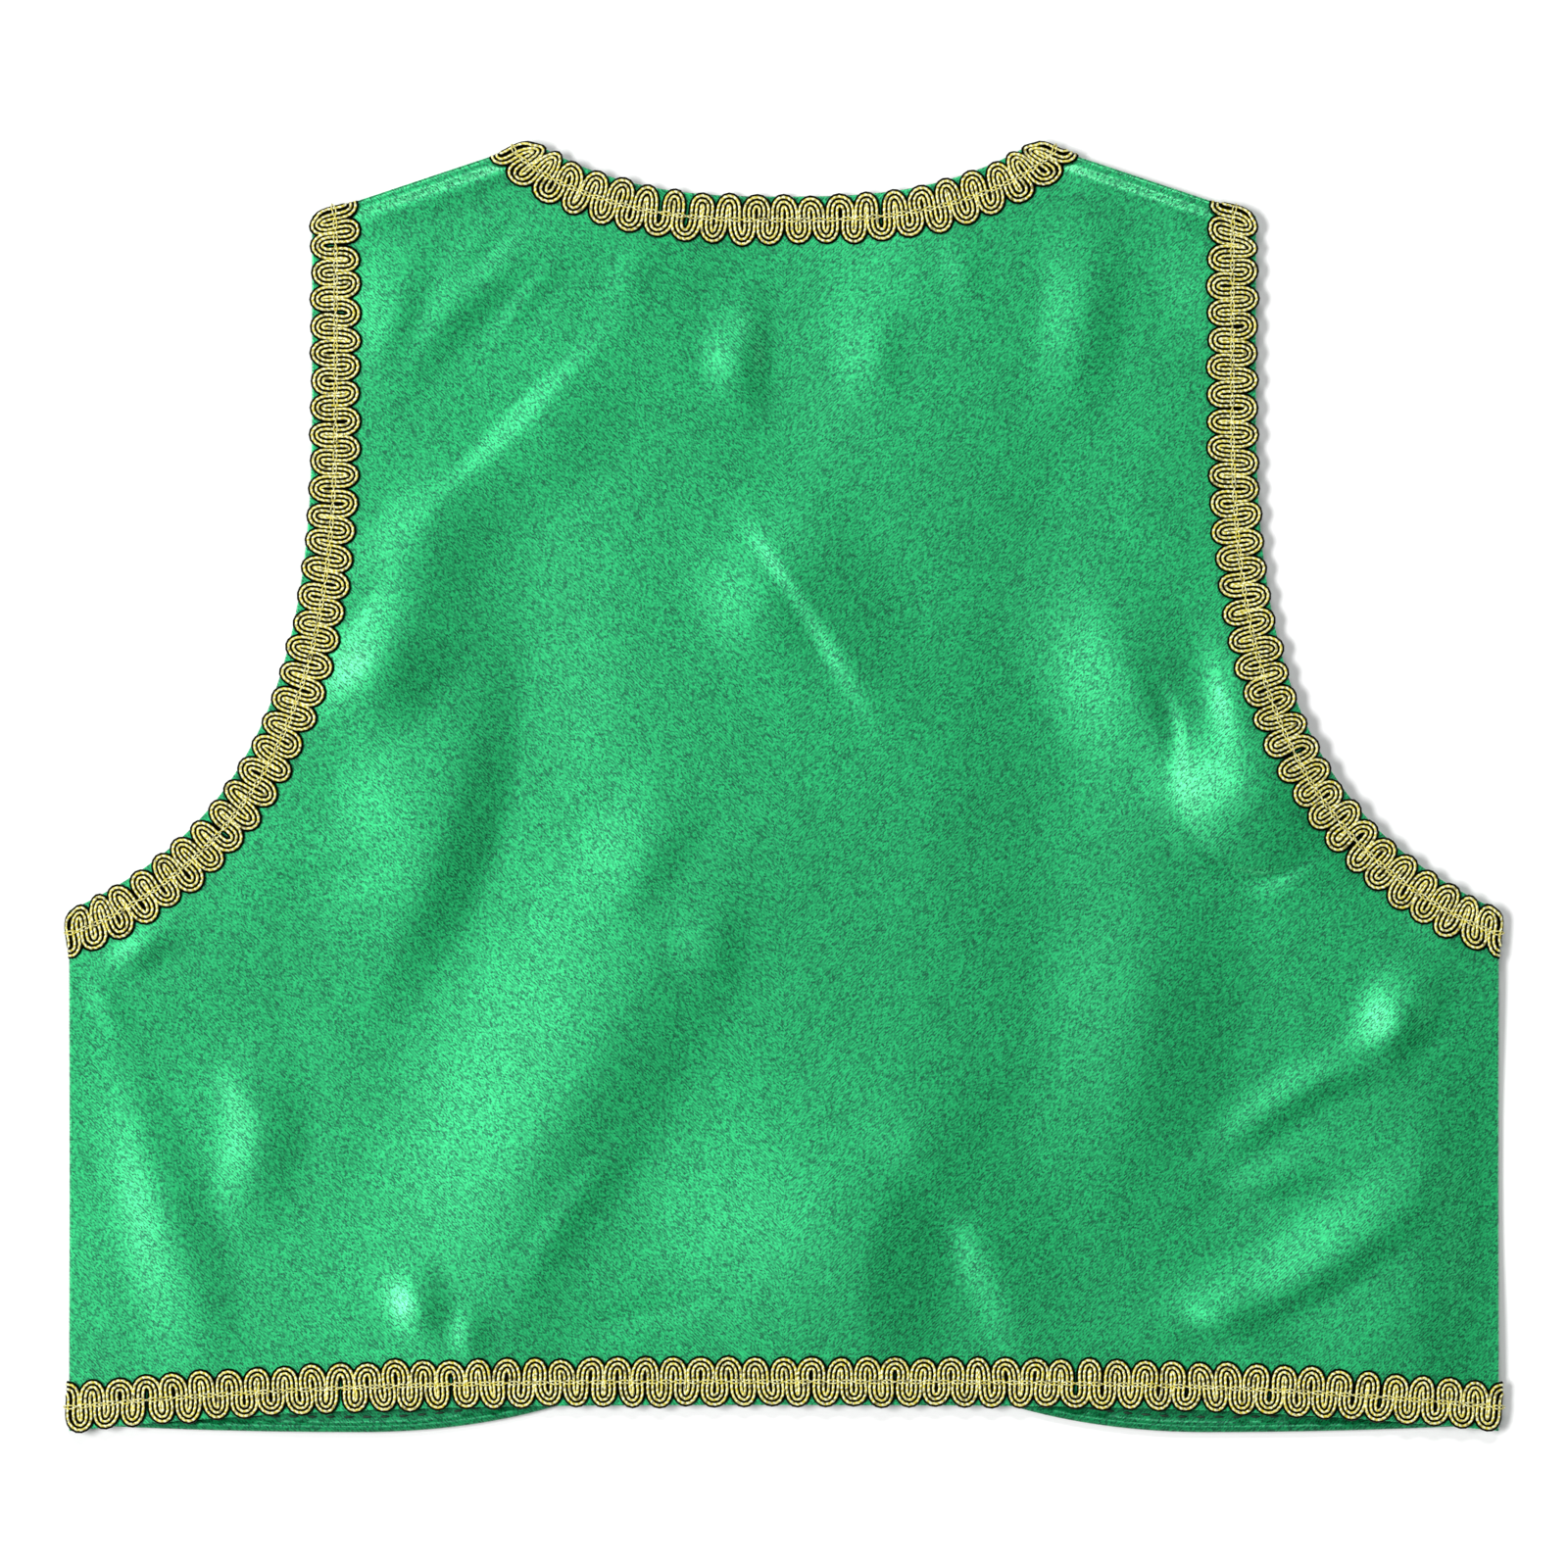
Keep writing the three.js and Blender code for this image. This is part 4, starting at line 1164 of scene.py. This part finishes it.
def layGimp(name, line, cloth, height, outward, ends, wraps, look, seed):
    ribbon, length = makeRibbon(*ribbonRows(line, cloth, height, outward, ends, wraps, look["outset"]))
    room = length - 2 * ribbonWay["spare"]
    loops = round(room / look["pitch"])
    inputs = {key: look[key] * mm for key in gimpLengths}
    inputs.update({key: look[key] for key in ("bunch", "stepsPerLoop", "sides")})
    inputs.update({
        "length": length * mm,
        "width": (look["width"] + 2 * ribbonWay["margin"]) * mm,
        "loops": loops,
        "start": ribbonWay["spare"] * mm,
        "pitch": room / loops * mm,
        "seed": look["seed"] + seed,
        "yarn": gold,
    })
    piece = applyTree(ribbon, scroll, inputs, name)
    print(name, loops, "loops", len(piece.data.polygons), "faces")
    return piece


def onBack(x, y):
    return heightAt(backTree, x, y)


def underFront(hand):
    return lambda x, y: heightAt(frontTrees[hand]["under"], x, y)


flip = np.array([-1.0, 1.0])
up, down = np.array([0.0, 1.0]), np.array([0.0, -1.0])
outOfSide = np.array([1.0, 0.0])
alongShoulder = np.subtract(neckPoint, tipPoint)
alongShoulder /= np.linalg.norm(alongShoulder)
outOfShoulder = np.array([alongShoulder[1], -alongShoulder[0]])

# For each braid of the back: its line, its cloth's side, its two ends, the ways out over them, and its seed.
backLines = {
    "neck": (backNeckLine(), -1, (-alongShoulder * flip, -alongShoulder),
             (outOfShoulder * flip, outOfShoulder), 0.0),
    "hem": (backHemLine(), 1, (up, up), (-outOfSide, outOfSide), 7.0),
    "armhole_right": (armholeLine(), 1, (down, alongShoulder), (outOfSide, outOfShoulder), 13.0),
    "armhole_left": (mirrored(armholeLine()), -1, (down, alongShoulder * flip),
                     (-outOfSide, outOfShoulder * flip), 19.0),
}
backBraids = {}
for place, (line, cloth, ends, wraps, seed) in backLines.items():
    edge, *side = place.split("_")
    node = "_".join([edge, "braid", *side])
    backBraids[node] = layGimp("gimp_" + place, line, cloth, onBack, 1, ends, wraps, gimp, seed)

openingSteps = 1200
openingLine = np.vstack([frontHemLine()[::-1], frontCornerLine()[1:], frontEdgeLine()[1:]])
openingLine = evenly(openingLine, openingSteps)
frontArmholeLine = armholeLine(cut["frontScoop"])
frontBraids = {}
for hand, sign in hands.items():
    turn = np.array([sign, 1.0])
    frontBraids["front_armhole_braid_" + hand] = layGimp(
        "gimp_front_armhole_" + hand, frontArmholeLine * turn, sign, underFront(hand), -1,
        (down, alongShoulder * turn), None, hiddenGimp, 23.0 + sign)
    frontBraids["front_edge_braid_" + hand] = layGimp(
        "gimp_front_edge_" + hand, openingLine * turn, -sign, underFront(hand), -1,
        (up, -alongShoulder * turn), None, hiddenGimp, 31.0 + sign)


# Stitches along the inside of the fronts' hems, as short dashes of thread.

def stitchTree(name):
    graph, value = newTree(name, {
        "Geometry": ("path",),
        "Float": ("pitch", "length", "radius"),
        "Material": ("thread",),
    }, "stitches")
    curve = graph.wire("GeometryNodeMeshToCurve", None, {"Mesh": value["path"]})
    inputs = {"Curve": curve, "Length": value["pitch"]}
    spaced = graph.wire("GeometryNodeResampleCurve", {"mode": "LENGTH"}, inputs)
    ball = graph.wire("GeometryNodeMeshUVSphere", None, {"Segments": 8, "Rings": 6, "Radius": 1.0})
    inputs = {"Vector": graph.wire("GeometryNodeInputTangent")}
    turned = graph.wire("FunctionNodeAlignRotationToVector", {"axis": "X"}, inputs)
    laid = graph.wire("GeometryNodeInstanceOnPoints", None, {
        "Points": spaced,
        "Instance": ball,
        "Rotation": turned,
        "Scale": graph.vector(value["length"] / 2.0, value["radius"], value["radius"]),
    })
    return finishTree(graph, laid, value["thread"], "stitches")


stitchRow = stitchTree("hemStitches")
stitches = {}
for hand, sign in hands.items():
    line = evenly(frontHemLine(), hemTurn["steps"])[1:-1]
    line = (line + leftOf(line) * hemTurn["stitchIn"]) * np.array([sign, 1.0])
    top = frontTrees[hand]["top"]
    points = [(x, y, heightAt(top, x, y) + hemTurn["stitchLift"]) for x, y in line]
    mesh = bpy.data.meshes.new("stitchPath")
    mesh.from_pydata((np.array(points) * mm).tolist(), [(i, i + 1) for i in range(len(points) - 1)], [])
    stitches[hand] = applyTree(addObject("stitchPath", mesh), stitchRow, {
        "pitch": hemTurn["stitchPitch"] * mm,
        "length": hemTurn["stitchLength"] * mm,
        "radius": hemTurn["stitchRadius"] * mm,
        "thread": sewingThread,
    }, "hem_stitches_" + hand)
print("stitches made")


# What each piece rides on and stands for.

def sheetArea(plan):
    a = plan[1:, 1:] - plan[:-1, :-1]    # the two diagonals of each cell
    b = plan[1:, :-1] - plan[:-1, 1:]
    return float(abs(a[..., 0] * b[..., 1] - a[..., 1] * b[..., 0]).sum() / 2)


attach(backPanel, "root")
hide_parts("back_panel")
for node, braid in {**backBraids, **frontBraids}.items():
    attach(braid, "root")
    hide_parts(node)
for hand in hands:
    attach(frontPanels[hand], "root")
    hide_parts("front_panel_" + hand)
    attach(stitches[hand], "root")
print("areas", round(sheetArea(backPlan)), round(sheetArea(frontPlan)), "mm2")


# Floor and light.

floorLook = {
    "reach": 4.0,             # m each way
    "low": (0.93, 0.93, 0.93, 1.0),
    "high": (0.97, 0.97, 0.97, 1.0),
    "mottleScale": 40.0,
    "roughness": 0.9,
    "gloss": 0.1,
}


def makeFloor(look):
    material, graph, shader = newMaterial("paleFloor")
    mottle = graph.noise(graph.wire("ShaderNodeTexCoord", key="Object"), look["mottleScale"], 3.0)
    graph.feed(shader, {
        "Base Color": graph.mixColours(mottle, look["low"], look["high"]),
        "Roughness": look["roughness"],
        "Specular IOR Level": look["gloss"],
    })
    reach = look["reach"]
    mesh = bpy.data.meshes.new("floor")
    corners = [(-reach, -reach, 0), (reach, -reach, 0), (reach, reach, 0), (-reach, reach, 0)]
    mesh.from_pydata(corners, [], [(0, 1, 2, 3)])
    mesh.materials.append(material)
    floor = addObject("floor", mesh)


makeFloor(floorLook)

lightsAway = 4.0              # m
worldLevel = 0.08
lights = namedRows(("name", "azimuth", "tilt", "size", "level"), [
    ("keyBox", 180, 33, (1.8, 1.1), 9.6),
    ("topBox", 90, 38, (1.9, 0.6), 3.9),
    ("rimBox", 10, 42, (1.6, 0.8), 0.5),
    ("fillRight", 0, 62, (2.2, 2.2), 1.2),
    ("fillBottom", 270, 62, (2.2, 2.2), 1.2),
])
for light in lights:
    data = bpy.data.lights.new(light["name"], "AREA")
    data.shape = "RECTANGLE"
    data.size, data.size_y = light["size"]
    data.energy = light["level"] * lightsAway ** 2
    azimuth, tilt = math.radians(light["azimuth"]), math.radians(light["tilt"])
    out = math.sin(tilt)
    toLight = Vector((math.cos(azimuth) * out, math.sin(azimuth) * out, math.cos(tilt)))
    lamp = addObject(light["name"], data)
    lamp.location = toLight * lightsAway
    lamp.rotation_euler = toLight.to_track_quat("Z", "Y").to_euler()

world = bpy.data.worlds.new("world")
world.use_nodes = True
background = world.node_tree.nodes["Background"]
background.inputs["Color"].default_value = (1.0, 1.0, 1.0, 1.0)
background.inputs["Strength"].default_value = worldLevel
scene.world = world
scene.view_settings.view_transform = "Standard"
